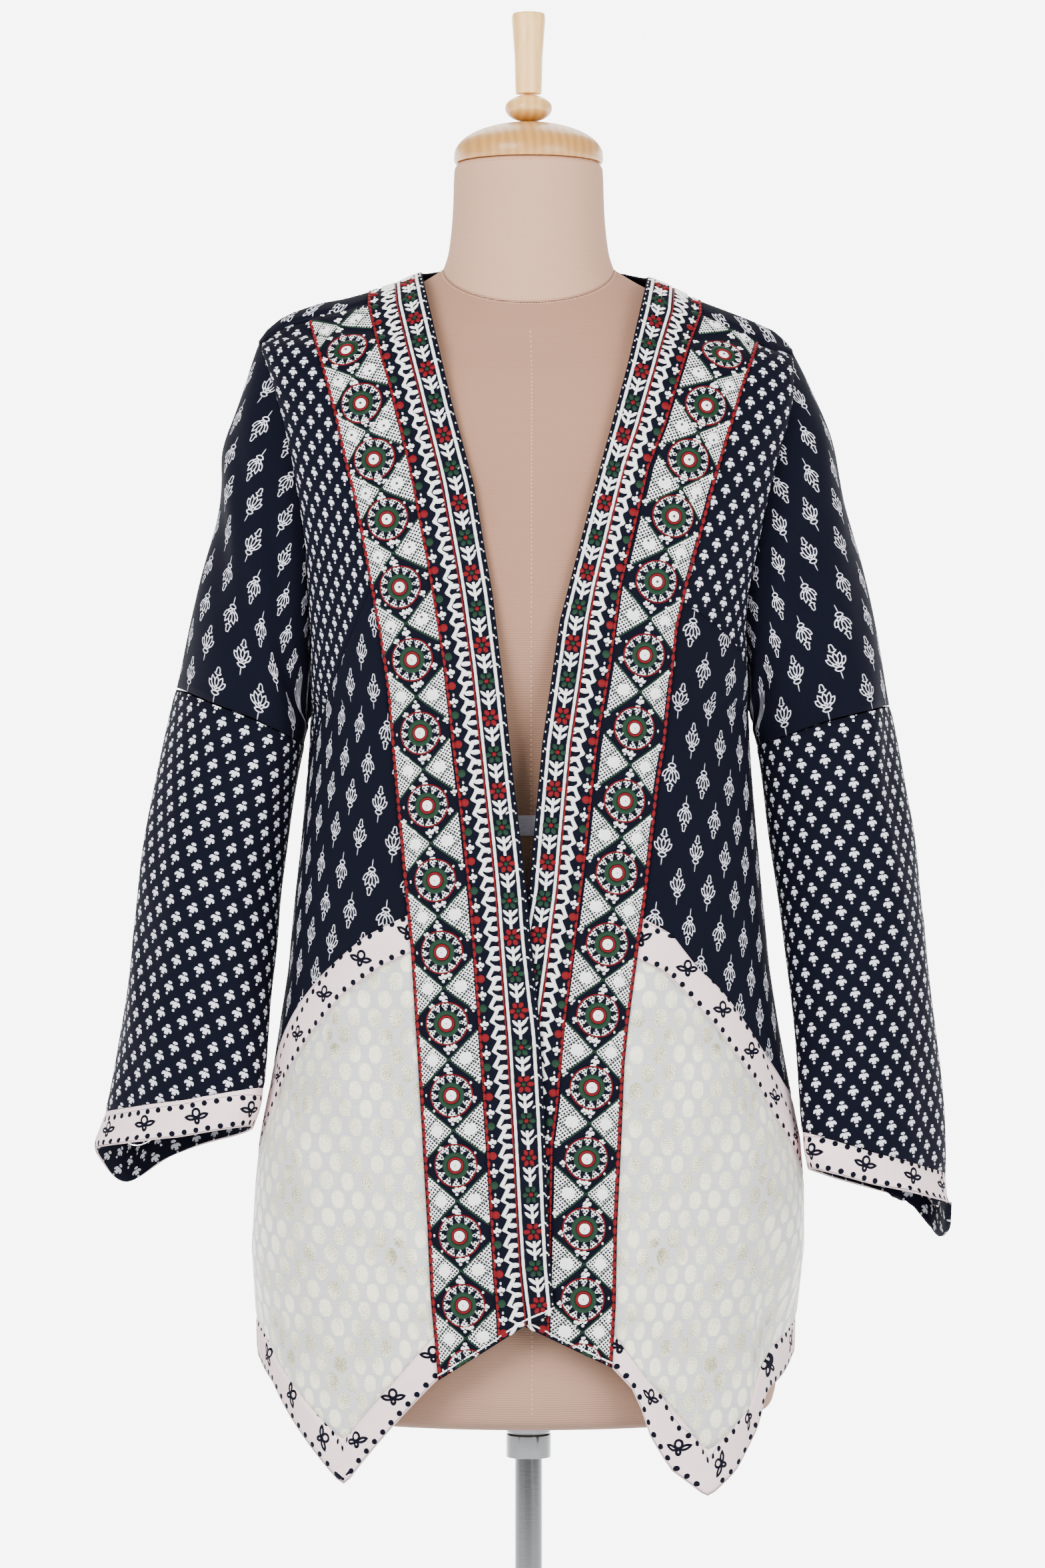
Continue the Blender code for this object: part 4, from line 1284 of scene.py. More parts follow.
def fold_over_shoulders(bm, columns, cut, table):
    """Add the strips that come forward from the ridge to the shoulder seams."""
    for first in (0, len(columns) - 1 - SHOULDER_COLUMNS):
        strip = grid_rows(bm, SHOULDER_COLUMNS, 4)
        for i in range(SHOULDER_COLUMNS + 1):
            side, angle, _ = columns[first + i]
            angle = min(angle, SIDE_ANGLE)
            ridge = meet(lambda z: read(side["ridge"], section_u(side, angle, z)), 1320.0)
            seam = meet(lambda z: seam_height(side, section_u(side, angle, z)), 1310.0)
            crest = table[0][first + i]
            run = cut[crest][1]
            for j in range(5):
                v = strip[j][i]
                share = 1.0 - (j / 4) ** 2
                z = seam + EDGE_TRIM / MM + (ridge - seam - EDGE_TRIM / MM) * share
                u = section_u(side, angle, z)
                y = 0.0 if j == 0 else front_y(side, u, z)
                v.co = crest.co if j == 0 else point(side, u, y, z)
                if j:
                    run += (v.co - strip[j - 1][i].co).length
                cut[v] = [cut[crest][0], run]


BACK_COLUMNS_LIST = back_columns()
BACK_BAND_TOP = BACK_HEM + HEM_BAND
cut_back_piece("back_cloth", "back", BACK_COLUMNS_LIST, BACK_BAND_TOP, 120,
               navy_lotus)
cut_back_piece("back_hem_band_cloth", "back_hem_band", BACK_COLUMNS_LIST, BACK_HEM, 6,
               pink_hem, top=BACK_BAND_TOP, band=True)

# %% [markdown]
# ## The sleeves
# A sleeve is a tube from the armhole to the cuff: lotus print above the elbow,
# flower print below it and a pink cuff. The tube's grid is closed along the
# inside of the arm, where a real sleeve has its seam. The upper print is
# pinned to a line down the front, and the lower one runs straight down the arm.

# %% Sleeve cutter
ROUND_COLUMNS = 96
RING_TRIM = 0.002           # share left free at each end of a sleeve piece


def sleeve_middle(side):
    rings = [[point(side, *q) for q in ring] for ring in side["sleeve"]]
    centres = [sum(ring, Vector()) / 4.0 for ring in rings]
    return lambda p: min(centres, key=lambda c: abs(c.z - p.z))


def sleeve_normal(side, middle, angle, t):
    """Outward direction, the same for both cloths that meet at a seam."""
    around = (sleeve_point(side, (angle + 0.05) % (2 * math.pi), t)
              - sleeve_point(side, (angle - 0.05) % (2 * math.pi), t))
    down = sleeve_point(side, angle, t + 0.04) - sleeve_point(side, angle, t - 0.04)
    p = sleeve_point(side, angle, t)
    normal = around.cross(down).normalized()
    return normal if normal.dot(p - middle(p)) > 0 else -normal


def measure_along_arm(table, pin):
    """Places on a sleeve whose grain runs straight down the arm."""
    top, low = (sum((v.co for v in table[j]), Vector()) / len(table[j]) for j in (0, -1))
    arm = (top - low).normalized()
    lowest = min(v.co.dot(arm) for v in table[-1])
    cut = {}
    for row in table:
        runs = [0.0]
        for a, b in zip(row, row[1:]):
            step = b.co - a.co
            runs.append(runs[-1] + (step - arm * step.dot(arm)).length)
        for v, run in zip(row, runs):
            cut[v] = [run - runs[pin], v.co.dot(arm) - lowest]
    return cut


def cut_sleeve(name, node, side, first, last, rows, material, band=False):
    bm = bmesh.new()
    table = grid_rows(bm, ROUND_COLUMNS, rows)
    spots = {}
    for j, row in enumerate(table):
        for i, v in enumerate(row):
            angle = math.pi + 2 * math.pi * i / ROUND_COLUMNS
            t = first + (last - first) * (RING_TRIM + (1 - 2 * RING_TRIM) * j / rows)
            v.co = sleeve_point(side, angle % (2 * math.pi), t)
            spots[v] = (angle % (2 * math.pi), t, j / rows)
    long = (table[0][0].co - table[-1][0].co).length / MM
    pin = 3 * ROUND_COLUMNS // 4
    if band:
        cut = measure_band(table)
    elif first:
        cut = measure_along_arm(table, pin)
    else:
        cut = measure_cut(table, [0] * (rows + 1), [0] * (ROUND_COLUMNS + 1), pin)
    write_cut(bm, cut)
    bmesh.ops.remove_doubles(bm, verts=bm.verts, dist=0.02 * MM)
    middle = sleeve_middle(side)
    face_outwards(bm, middle)
    for v in bm.verts:
        angle, t, share = spots[v]
        near = min(share, 1 - share) * long
        height = sleeve_fold(side, angle, t) + seam_dip(near)
        v.co += sleeve_normal(side, middle, angle, t) * height * MM
    item = finish_cloth(name, bm, material, node)
    if band:
        item.data.materials.append(navy_flowers)
        item.modifiers["cloth"].material_offset = 1
        item.modifiers["cloth"].use_even_offset = False
    return item


for side_word, side_tables in SIDES.items():
    cut_sleeve("sleeve_upper_cloth_" + side_word, "sleeve_upper_" + side_word, side_tables,
               0, SLEEVE_SEAM_RING, 60, navy_lotus)
    cut_sleeve("sleeve_lower_cloth_" + side_word, "sleeve_lower_" + side_word, side_tables,
               SLEEVE_SEAM_RING, CUFF_RING, 48, sleeve_flowers[side_word])
    cut_sleeve("cuff_cloth_" + side_word, "cuff_" + side_word, side_tables,
               CUFF_RING, CUFF_RING + 1, 6, pink_cuff,
               band=True)

# %% [markdown]
# ## The border cloth
# The border is sewn on two navy strips. The inner strip runs up the front edge,
# over the shoulder and round the back of the neck to meet the other side. The
# outer strip runs from the hem to the shoulder seam. Every stitch is placed on
# them by two shares: across the strip from the open edge, and up it from the hem.

# %% Border surfaces
BAND_WIDTH, PANEL_WIDTH = 38.0, 40.0
NECK_SHARE = 0.84


def band_surface(side):
    """The inner strip as a function of two shares, up to the centre back."""
    edge, chain = line_of(side, "edge"), line_of(side, "chain")
    ridge = remembered(lambda s: meet(
        lambda z: read(side["ridge"], abs(front_u(side, edge, chain, s, z))), 1340.0), 8)
    bottom = remembered(lambda s: meet(
        lambda z: read(side["edge_bottom"], front_u(side, edge, chain, s, z)), 670.0), 16)

    def place(s, t):
        if t <= NECK_SHARE:
            low, high = bottom(s), ridge(s)
            z = low + (high - low) * t / NECK_SHARE
            u = front_u(side, edge, chain, s, z)
            return point(side, u, front_y(side, u, z) if t < NECK_SHARE else 0.0, z)
        angle = math.pi / 2 * (t - NECK_SHARE) / (1 - NECK_SHARE)
        u = (side["neck_x"] + (side["band_x"] - side["neck_x"]) * s) * math.cos(angle)
        y = (NECK_BACK_Y + (BAND_BACK_Y - NECK_BACK_Y) * s) * math.sin(angle)
        return point(side, u, y, back_z(side, u, y) if s > 0 else neck_edge(side, u)[1])
    return place


def panel_surface(side):
    """The outer strip as a function of two shares, hem to shoulder seam."""
    chain, outer = line_of(side, "chain"), line_of(side, "outer")
    top = remembered(lambda s: meet(
        lambda z: seam_height(side, front_u(side, chain, outer, s, z)), 1310.0), 8)
    bottom = remembered(lambda s: meet(
        lambda z: read(side["edge_bottom"], front_u(side, chain, outer, s, z)), 650.0), 16)

    def place(s, t):
        z = bottom(s) + (top(s) - bottom(s)) * t
        u = front_u(side, chain, outer, s, z)
        return point(side, u, front_y(side, u, z), z)
    return place


def surface_table(place, columns, rows):
    """Work the surface out once on a lattice and read between its points."""
    lattice = [[place(i / columns, j / rows) for i in range(columns + 1)] for j in range(rows + 1)]

    def read_at(s, t):
        x, y = s * columns, t * rows
        i = min(max(int(x), 0), columns - 1)
        j = min(max(int(y), 0), rows - 1)
        low = lattice[j][i].lerp(lattice[j][i + 1], x - i)
        high = lattice[j + 1][i].lerp(lattice[j + 1][i + 1], x - i)
        return low.lerp(high, y - j)
    return read_at


def cut_border(name, node, surface, columns, rows):
    bm = bmesh.new()
    table = grid_rows(bm, columns, rows)
    for j, row in enumerate(table):
        for i, v in enumerate(row):
            v.co = surface(0.003 + 0.994 * i / columns, 0.0002 + 0.9996 * (1 - j / rows))
    write_cut(bm, measure_cut(table, [0] * (rows + 1), [0] * (columns + 1)))
    face_outwards(bm, lambda p: Vector((0, 0, min(p.z, 1260 * MM))))
    return finish_cloth(name, bm, navy_plain, node)


surfaces = {}
for side_word, side_tables in SIDES.items():
    surfaces["band", side_word] = surface_table(band_surface(side_tables), 16, 460)
    surfaces["panel", side_word] = surface_table(panel_surface(side_tables), 16, 380)
    cut_border("flower_band_cloth_" + side_word, "flower_band_" + side_word,
               surfaces["band", side_word], 10, 230)
    cut_border("medallion_panel_cloth_" + side_word, "medallion_panel_" + side_word,
               surfaces["panel", side_word], 10, 190)

# %% [markdown]
# ## Raised thread
# The embroidery stands up to a millimetre off the cloth, so it is real shape
# here: satin petals, laid cords, chain stitches and net. Each motif is modelled
# once, flat and small, with x across the border, y up it and z off the cloth, in
# millimetres. A patch then carries its points onto the curved border, so a round
# medallion stays round wherever the cloth leans or turns.

# %% Threads and the patch that carries them
THREADS = {
    "white": ((0.90, 0.90, 0.885), 0.62),
    "red": ((0.135, 0.0, 0.003), 0.6),
    "green": ((0.0028, 0.021, 0.009), 0.6),
    "grey": ((0.045, 0.05, 0.052), 0.5),
}


def thread_material(name, colour, roughness):
    """Satin thread: fine uneven strands that break up the tone and the gloss."""
    material, tree, shader = new_material(name + " thread", roughness, specular=0.12)
    spot = in_mm(object_place(tree))
    strands = noise_at(moved(spot, 0, 0, 35, (1.6, 0.35)), 1.0)
    tone = 0.84 + strands * 0.32
    feed(scaled(plain_colour(tree, colour), tone), shader.inputs["Base Color"])
    bumped(strands, 0.3 * MM, 0.7, shader)
    return material


NET_HALF_PITCH, NET_THREAD = 0.95, 0.33
NET_WHITE = (0.92, 0.92, 0.91)


def net_material():
    """White net stitch: two sets of slanted threads with navy holes between."""
    material, tree, shader = new_material("white net stitch", 0.7, specular=0.2)
    spot = in_mm(cut_place(tree))
    drift = noise_at(spot, 0.45)
    away = [abs(calc("WRAP", axis + drift * 1.3, NET_HALF_PITCH, -NET_HALF_PITCH))
            for axis in split(moved(spot, 0, 0, 40))[:2]]
    hole = mask_of(calc("MINIMUM", *away) - NET_THREAD, 0.1)
    feed(mix_colour(hole, NET_WHITE, NAVY), shader.inputs["Base Color"])
    bumped(1.0 - hole, 0.35 * MM, 0.8, shader)
    return material


thread_finish = {name: thread_material(name, *values) for name, values in THREADS.items()}
thread_finish["net"] = net_material()
sewing = {(colour, word): bmesh.new() for colour in thread_finish for word in SIDES}
overhang = {key: [] for key in sewing}


def patch(surface, word, s, t, turn=0.0):
    """A function that carries flat points in mm onto the border round (s, t)."""
    step = 0.004
    over = (surface(s + step, t) - surface(s - step, t)) / (2 * step)
    up = (surface(s, t + step) - surface(s, t - step)) / (2 * step)
    out = (over.cross(up) * SIDES[word]["sign"]).normalized()
    up_way = up.normalized()
    over_way = (over - up_way * over.dot(up_way)).normalized()
    c, r = math.cos(math.radians(turn)), math.sin(math.radians(turn))

    def carry(flat):
        x, y = (flat.x * c - flat.y * r) * MM, (flat.x * r + flat.y * c) * MM
        ds = x / over.dot(over_way)
        dt = (y - ds * over.dot(up_way)) / up.length
        inside = -0.03 <= s + ds <= 1.035 and 0.0 <= t + dt <= 1.0
        return surface(s + ds, min(max(t + dt, 0.0), 1.0)) + out * flat.z * MM, inside
    return carry


def sew(colour, word, motif, surface, s, t, turn=0.0):
    """Copy a flat motif onto the border and note what would hang over its ends."""
    bm = sewing[colour, word]
    start = len(bm.verts)
    bm.from_mesh(motif)
    bm.verts.ensure_lookup_table()
    carry = patch(surface, word, s, t, turn)
    for v in bm.verts[start:]:
        v.co, inside = carry(v.co)
        if not inside:
            overhang[colour, word].append(v)


def spaced(surface, s, pitch, first=0.0, last=1.0):
    """Shares t up a column of the border, a pitch apart along the cloth in mm."""
    steps = 900
    run, marks, wanted = 0.0, [], first
    before = surface(s, 0.0)
    for k in range(1, steps + 1):
        here = surface(s, last * k / steps)
        length = (here - before).length / MM
        while run + length >= wanted:
            marks.append(last * (k - 1 + (wanted - run) / length) / steps)
            wanted += pitch
        run += length
        before = here
    return marks


print("threads:", ", ".join(thread_finish))

# %% [markdown]
# ### Flat motifs
# A satin stitch is a low cushion: a cone with its top cut off, squeezed to an
# oval or drawn to a point. A ring of stitches is a half-round profile spun round
# the motif's middle. The net fans of the medallion and the net triangles between
# the medallions are thin curved sheets with the net drawn in their finish.

# %% Motif builders
SUNK = 0.15                 # how deep a stitch sinks into the cloth, in mm


def flat_motif(name, build):
    bm = bmesh.new()
    build(bm)
    bm.normal_update()
    bmesh.ops.reverse_faces(bm, faces=[f for f in bm.faces if f.normal.z < -0.001])
    mesh = bpy.data.meshes.new(name)
    bm.to_mesh(mesh)
    bm.free()
    return mesh


def add_cushion(bm, x, y, wide, tall, turn=0.0, rise=0.7, sides=10, point_up=0.0):
    """A satin cushion; point_up draws its two ends together."""
    made = bmesh.ops.create_cone(bm, cap_ends=True, cap_tris=False, segments=sides,
                                 radius1=1.0, radius2=0.5, depth=1.0)
    verts = made["verts"]
    under = [f for f in bm.faces if all(v in verts and v.co.z < 0 for v in f.verts)]
    bmesh.ops.delete(bm, geom=under, context="FACES_ONLY")
    for v in verts:
        narrow = 1.0 - point_up * abs(v.co.y) ** 1.5
        height = (v.co.z + 0.5) * (rise + SUNK) - SUNK
        v.co = Vector((v.co.x * wide * narrow, v.co.y * tall, height))
    bmesh.ops.rotate(bm, verts=verts, matrix=Matrix.Rotation(math.radians(turn), 3, "Z"))
    bmesh.ops.translate(bm, verts=verts, vec=(x, y, 0))


def add_ring(bm, inner, outer, rise, steps, wobble=0.0):
    """A raised ring: a half-round profile spun round the middle."""
    profile = []
    for k in range(5):
        angle = math.pi * k / 4
        middle, half = (inner + outer) / 2, (outer - inner) / 2
        profile.append(bm.verts.new((middle - half * math.cos(angle), 0,
                                     (rise + SUNK) * math.sin(angle) - SUNK)))
    edges = [bm.edges.new(pair) for pair in zip(profile, profile[1:])]
    made = bmesh.ops.spin(bm, geom=profile + edges, cent=(0, 0, 0), axis=(0, 0, 1),
                          angle=2 * math.pi, steps=steps, use_merge=True)
    if wobble:
        for v in bm.verts:
            angle = math.atan2(v.co.y, v.co.x)
            if inner * 0.99 < v.co.to_2d().length < outer * 1.01:
                v.co.z *= 1.0 + wobble * math.cos(steps / 2 * angle)
    return made


def add_line(bm, start, end, half, rise, steps=8):
    """A laid thread with a rounded top from one point to another."""
    start, end = Vector((*start, 0)), Vector((*end, 0))
    side = (end - start).cross(Vector((0, 0, 1))).normalized()
    for j, row in enumerate(grid_rows(bm, 4, steps)):
        for i, v in enumerate(row):
            x = i / 2 - 1.0
            v.co = end.lerp(start, j / steps) + side * half * x
            v.co.z = (rise + SUNK) * math.sqrt(1 - x * x) - SUNK


def add_net(bm, columns, rows, place):
    """A thin sheet whose net pattern follows its own flat place in mm."""
    table = grid_rows(bm, columns, rows)
    layer = bm.loops.layers.uv.get(CUT) or bm.loops.layers.uv.new(CUT)
    for j, row in enumerate(table):
        for i, v in enumerate(row):
            v.co = place(i / columns, j / rows)
    for row in table:
        for v in row:
            for loop in v.link_loops:
                loop[layer].uv = (v.co.x * MM, v.co.y * MM)


RING_OUT, GREEN_OUT, RED_OUT, CENTRE = 13.4, 8.6, 5.3, 3.8
FANS = 12


def build_fans(bm):
    for k in range(FANS):
        def place(a, b, k=k):
            radius = GREEN_OUT - 0.2 + (RING_OUT - 0.4 - GREEN_OUT) * b
            half = 3.0 + 11.0 * b
            angle = math.radians(360.0 * k / FANS + half * (2 * a - 1))
            height = 0.42 * (1 - (2 * a - 1) ** 2) + 0.08
            return Vector((radius * math.cos(angle), radius * math.sin(angle), height))
        add_net(bm, 4, 3, place)


def build_petals(bm, radius=3.8, wide=1.75, tall=2.25):
    for k in range(6):
        angle = math.radians(60 * k)
        add_cushion(bm, radius * math.cos(angle), radius * math.sin(angle), wide, tall,
                    60 * k - 90, 0.75, 10, 0.15)


def build_sprig(bm):
    """Two pairs of leaves on a stem, pointing up, between two flowers."""
    for y, reach in ((3.6, 1.0), (-1.3, 0.95)):
        for way in (-1, 1):
            add_cushion(bm, way * 2.4, y, 1.3 * reach, 3.6 * reach, -way * 42, 0.7, 10, 0.45)
    add_line(bm, (0, -6.4), (0, 5.6), 0.95, 0.6)


def build_clover(bm, size=1.0):
    """A three-lobed leaf on a short foot."""
    for x, y, wide, tall, turn, sides, point_up in (
            (-1.35, 0.1, 1.35, 1.6, 24, 8, 0.2), (0.15, 0.9, 1.35, 1.8, 0, 8, 0.2),
            (1.75, -0.2, 1.0, 1.9, -48, 8, 0.4), (0.1, -2.5, 1.35, 1.15, 0, 6, 0.3)):
        add_cushion(bm, x * size, y * size, wide * size, tall * size, turn, 0.6, sides, point_up)


TRIANGLE_REACH, TRIANGLE_HALF = 19.0, 17.2


def build_triangles(bm):
    for way in (-1, 1):
        def place(a, b, way=way):
            x = 1.6 + (TRIANGLE_REACH - 1.6) * a
            half = max(TRIANGLE_HALF * x / TRIANGLE_REACH - 0.8, 0.1)
            return Vector((way * x, half * (2 * b - 1), 0.3 if 0 < b < 1 and 0 < a < 1 else 0.05))
        add_net(bm, 8, 8, place)


def build_crossing(bm):
    for way in (-1, 1):
        add_line(bm, (-18.7, -way * 17.0), (18.7, way * 17.0), 0.42, 0.55, 20)
        for up in (-1, 1):
            add_line(bm, (way * 18.4, up * 0.3), (way * 9.6, up * 8.2), 0.4, 0.55)


def build_diamonds(bm):
    for way in (-1, 1):
        add_cushion(bm, way * 10.7, 0, 5.6, 5.3, 0, 0.6, 16, 0.12)


def build_scatter(bm):
    """Small white stitches round a medallion: direction, distance and size."""
    for angle, reach, wide, tall in (
            (90, 16.7, 0.75, 1.2), (90, 14.1, 2.2, 0.75), (2, 16.6, 0.7, 1.15),
            (151, 14.6, 0.8, 1.0), (-38, 15.0, 0.8, 1.0)):
        spot = Matrix.Rotation(math.radians(angle), 2) @ Vector((reach, 0))
        add_cushion(bm, spot.x, spot.y, wide, tall, 0, 0.6, 8)


CUSHIONS = {  # half width, half length, rise, sides and how far the ends are drawn in
    "centre": (CENTRE, CENTRE, 0.6, 20, 0.0), "eye": (0.55, 0.95, 0.75, 8, 0.0),
    "large eye": (1.55, 1.6, 0.75, 10, 0.0), "grain": (0.7, 1.15, 0.6, 6, 0.0),
    "speck": (0.55, 0.8, 0.5, 6, 0.0), "picot": (0.8, 1.5, 0.6, 6, 0.4),
    "heart": (1.55, 1.55, 0.95, 10, 0.0), "dot": (2.75, 2.75, 0.9, 14, 0.0),
    "link": (1.45, 2.75, 0.85, 8, 0.3), "bar": (3.6, 1.75, 0.75, 10, 0.0)}
RINGS = {  # inner and outer radius, rise, steps round and wobble
    "ring": (RING_OUT - 0.4, RING_OUT + 0.4, 0.8, 48, 0.0),
    "green ring": (RED_OUT, GREEN_OUT, 0.65, 60, 0.25),
    "red ring": (CENTRE, RED_OUT, 0.7, 40, 0.2)}
motifs = {name: flat_motif(name, build) for name, build in (
    ("fans", build_fans), ("petals", build_petals), ("sprig", build_sprig),
    ("clover", build_clover), ("small clover", lambda bm: build_clover(bm, 0.78)),
    ("scatter", build_scatter), ("triangles", build_triangles),
    ("crossing", build_crossing), ("diamonds", build_diamonds))}
for name, (wide, tall, rise, sides, drawn) in CUSHIONS.items():
    motifs[name] = flat_motif(
        name, lambda bm: add_cushion(bm, 0, 0, wide, tall, 0, rise, sides, drawn))
for name, ring in RINGS.items():
    motifs[name] = flat_motif(name, lambda bm: add_ring(bm, *ring))
print(len(motifs), "motifs,", sum(len(m.polygons) for m in motifs.values()), "faces in all")

# %% [markdown]
# ### Cords along the border
# The white cords and the zigzag of the lace run the whole length of the border.
# Each is a narrow strip with a rounded top that follows a line across the border,
# with a slight unevenness, because it is laid and stitched down by hand.

# %% Long cords
def lay_cord(colour, word, surface, line, half, rise, step=2.0, last=1.0):
    """A cord up the border; line gives its place across, in mm, after a length in mm."""
    marks = spaced(surface, 0.5, step, 0.0, last) + [last]
    wide = BAND_WIDTH if surface is surfaces["band", word] else PANEL_WIDTH
    bm = sewing[colour, word]
    table = grid_rows(bm, 4, len(marks) - 1)
    for k, (row, t) in enumerate(zip(reversed(table), marks)):
        carry = patch(surface, word, line(k * step) / wide, min(max(t, 0.0), 1.0))
        for i, v in enumerate(row):
            x = i / 2 - 1.0
            lump = 1.0 + 0.12 * math.sin(k * 2.1) + 0.06 * math.sin(k * 0.83)
            height = (rise + SUNK) * math.sqrt(1 - x * x) * lump - SUNK
            v.co = carry(Vector((x * half * (1.0 + 0.07 * math.sin(k * 1.7)), 0, height)))[0]


LACE_PITCH = 9.35


def lace_line(run):
    """The zigzag of the lace: pointed outwards, rounder inwards."""
    share = abs((run / LACE_PITCH) % 1.0 - 0.5) * 2.0
    return 24.2 + 4.6 * share


def edge_cord(word, surface, half=0.7, rise=0.6, columns=40):
    """The white cord along the border's hem."""
    table = grid_rows(sewing["white", word], columns, 4)
    for i in range(columns + 1):
        carry = patch(surface, word, i / columns, 0.004)
        for j, row in enumerate(table):
            y = 1.0 - j / 2
            height = (rise + SUNK) * math.sqrt(1 - y * y) - SUNK
            row[i].co = carry(Vector((0, 0.4 + y * half, height)))[0]


for word in SIDES:
    band, panel = surfaces["band", word], surfaces["panel", word]
    lay_cord("white", word, band, lambda run: 4.1, 1.1, 0.8)
    lay_cord("white", word, band, lambda run: 17.0, 1.0, 0.85)
    lay_cord("red", word, band, lambda run: 19.2, 0.55, 0.6)
    lay_cord("white", word, band, lace_line, 1.55, 0.85, 1.56)
    edge_cord(word, band)
    edge_cord(word, panel)
print("cords laid on both sides")

# %% [markdown]
# ### Rows of motifs
# Up the inner strip go a column of red and green flowers with leafy sprigs
# between them, the bars of the lace, and a column of satin dots, each with a
# clover and a grain above it. A red chain covers the seam between the strips and
# the outer edge. Their places come from lengths measured along the cloth, so the
# rows keep their pitch over the shoulder and round the neck.

# %% Sew the inner strip
FLOWER_PITCH, DOT_PITCH, BAR_PITCH, LINK_PITCH = 23.2, 18.6, LACE_PITCH * 2 / 3, 5.3


def sew_up(colour, word, motif, surface, mm, pitch, first, turn=0.0):
    """A column of one motif, mm from the edge of the strip, at a steady pitch."""
    wide = BAND_WIDTH if surface is surfaces["band", word] else PANEL_WIDTH
    for t in spaced(surface, mm / wide, pitch, first):
        sew(colour, word, motifs[motif], surface, mm / wide, t, turn)


for word in SIDES:
    band, panel = surfaces["band", word], surfaces["panel", word]
    for first, petals, heart in ((9.0, "red", "green"), (9.0 + FLOWER_PITCH, "green", "red")):
        sew_up(petals, word, "petals", band, 10.4, 2 * FLOWER_PITCH, first)
        sew_up(heart, word, "heart", band, 10.4, 2 * FLOWER_PITCH, first)
    sew_up("white", word, "sprig", band, 10.4, FLOWER_PITCH, 9.0 + FLOWER_PITCH / 2)
    sew_up("white", word, "bar", band, 22.6, BAR_PITCH, 3.0)
    for mm, turn in ((2.5, 50), (6.2, -50), (20.6, -60)):
        sew_up("white", word, "picot", band, mm, DOT_PITCH, 2.0, turn * SIDES[word]["sign"])
    sew_up("white", word, "speck", band, 1.1, DOT_PITCH / 3, 0.0)
    for first, colour in ((4.0, "red"), (4.0 + DOT_PITCH, "green")):
        sew_up(colour, word, "dot", band, 34.4, 2 * DOT_PITCH, first)
    sew_up("white", word, "clover", band, 34.0, DOT_PITCH, 12.2)
    sew_up("white", word, "grain", band, 34.0, DOT_PITCH, 16.6)
    sew_up("red", word, "link", band, 38.0, LINK_PITCH, 1.0)
    sew_up("red", word, "link", panel, 38.6, LINK_PITCH, 1.0)
print("inner strip sewn")

# %% [markdown]
# ### Medallions
# Up the outer strip the medallions are not quite evenly spaced, as they are sewn
# by eye. Their heights were measured in the photograph for each side, as rows of
# the picture. Between two medallions lie two net triangles whose green outlines
# cross in the middle, each with a white satin diamond. At the shoulder the seam
# cuts a medallion off, and at the hem another.

# %% Sew the outer strip
MEDALLION_ROWS = {
    "right": (452, 525, 605, 689, 779, 881, 990, 1100, 1209,
              1321, 1429, 1536, 1644, 1749, 1855, 1959, 2057),
    "left": (460, 532, 609, 690, 775, 873, 983, 1093, 1202,
             1310, 1417, 1524, 1632, 1739, 1844, 1950, 2048),
}


def row_of(point):
    """The row of the photograph in which a point is seen."""
    scale = MM_PER_PIXEL * MM * (point.y - EYE.y) / -EYE.y
    return IMAGE_HEIGHT / 2 - (point.z - EYE.z) / scale


def share_of_row(surface, row):
    """How far up the middle of a strip a row of the photograph lies."""
    low, high = -0.06, 1.06
    for _ in range(30):
        middle = (low + high) / 2
        if row_of(surface(0.5, middle)) > row:
            low = middle
        else:
            high = middle
    return (low + high) / 2


MIDDLE = 0.49               # place of the medallions across the strip
MEDALLION = (("fans", "net"), ("ring", "red"), ("green ring", "green"), ("red ring", "red"),
             ("centre", "white"), ("scatter", "white"))
CROSSING = (("triangles", "net"), ("crossing", "green"), ("diamonds", "white"))
CLOVERS = ((-14, 16.9), (-52, 16.6), (-103, 16.8), (-146, 16.4), (176, 17.0), (60, 16.6))

for word in SIDES:
    panel = surfaces["panel", word]
    shares = [share_of_row(panel, row) for row in MEDALLION_ROWS[word]]
    for k, t in enumerate(shares):
        for motif, colour in MEDALLION:
            sew(colour, word, motifs[motif], panel, MIDDLE, t)
        sew("grey", word, motifs["large eye" if k < 6 else "eye"], panel, MIDDLE, t)
        tall = (panel(0.5, t + 0.004) - panel(0.5, t - 0.004)).length / 0.008 / MM
        for angle, reach in CLOVERS:
            turn = math.radians(angle)
            sew("white", word, motifs["small clover"], panel,
                MIDDLE + reach * math.cos(turn) / PANEL_WIDTH,
                t + reach * math.sin(turn) / tall, 20 * math.cos(3 * turn + k))
    for k, (t, below) in enumerate(zip(shares, shares[1:])):
        middle = (t + below) / 2
        for motif, colour in CROSSING:
            sew(colour, word, motifs[motif], panel, MIDDLE, middle)
        for way in (-1, 1):
            sew("grey", word, motifs["large eye" if k < 6 else "eye"], panel,
                MIDDLE + way * 10.7 / PANEL_WIDTH, middle)
        tall = (panel(0.5, t + 0.004) - panel(0.5, t - 0.004)).length / 0.008 / MM
        sew("white", word, motifs["clover"], panel, MIDDLE, middle + 6.6 / tall)
        sew("white", word, motifs["clover"], panel, 0.52, middle - 5.6 / tall, 180)
print("outer strip sewn")

# %% [markdown]
# Every thread colour of each side becomes one piece. It follows the strip it is
# sewn to, so it moves with the jacket.

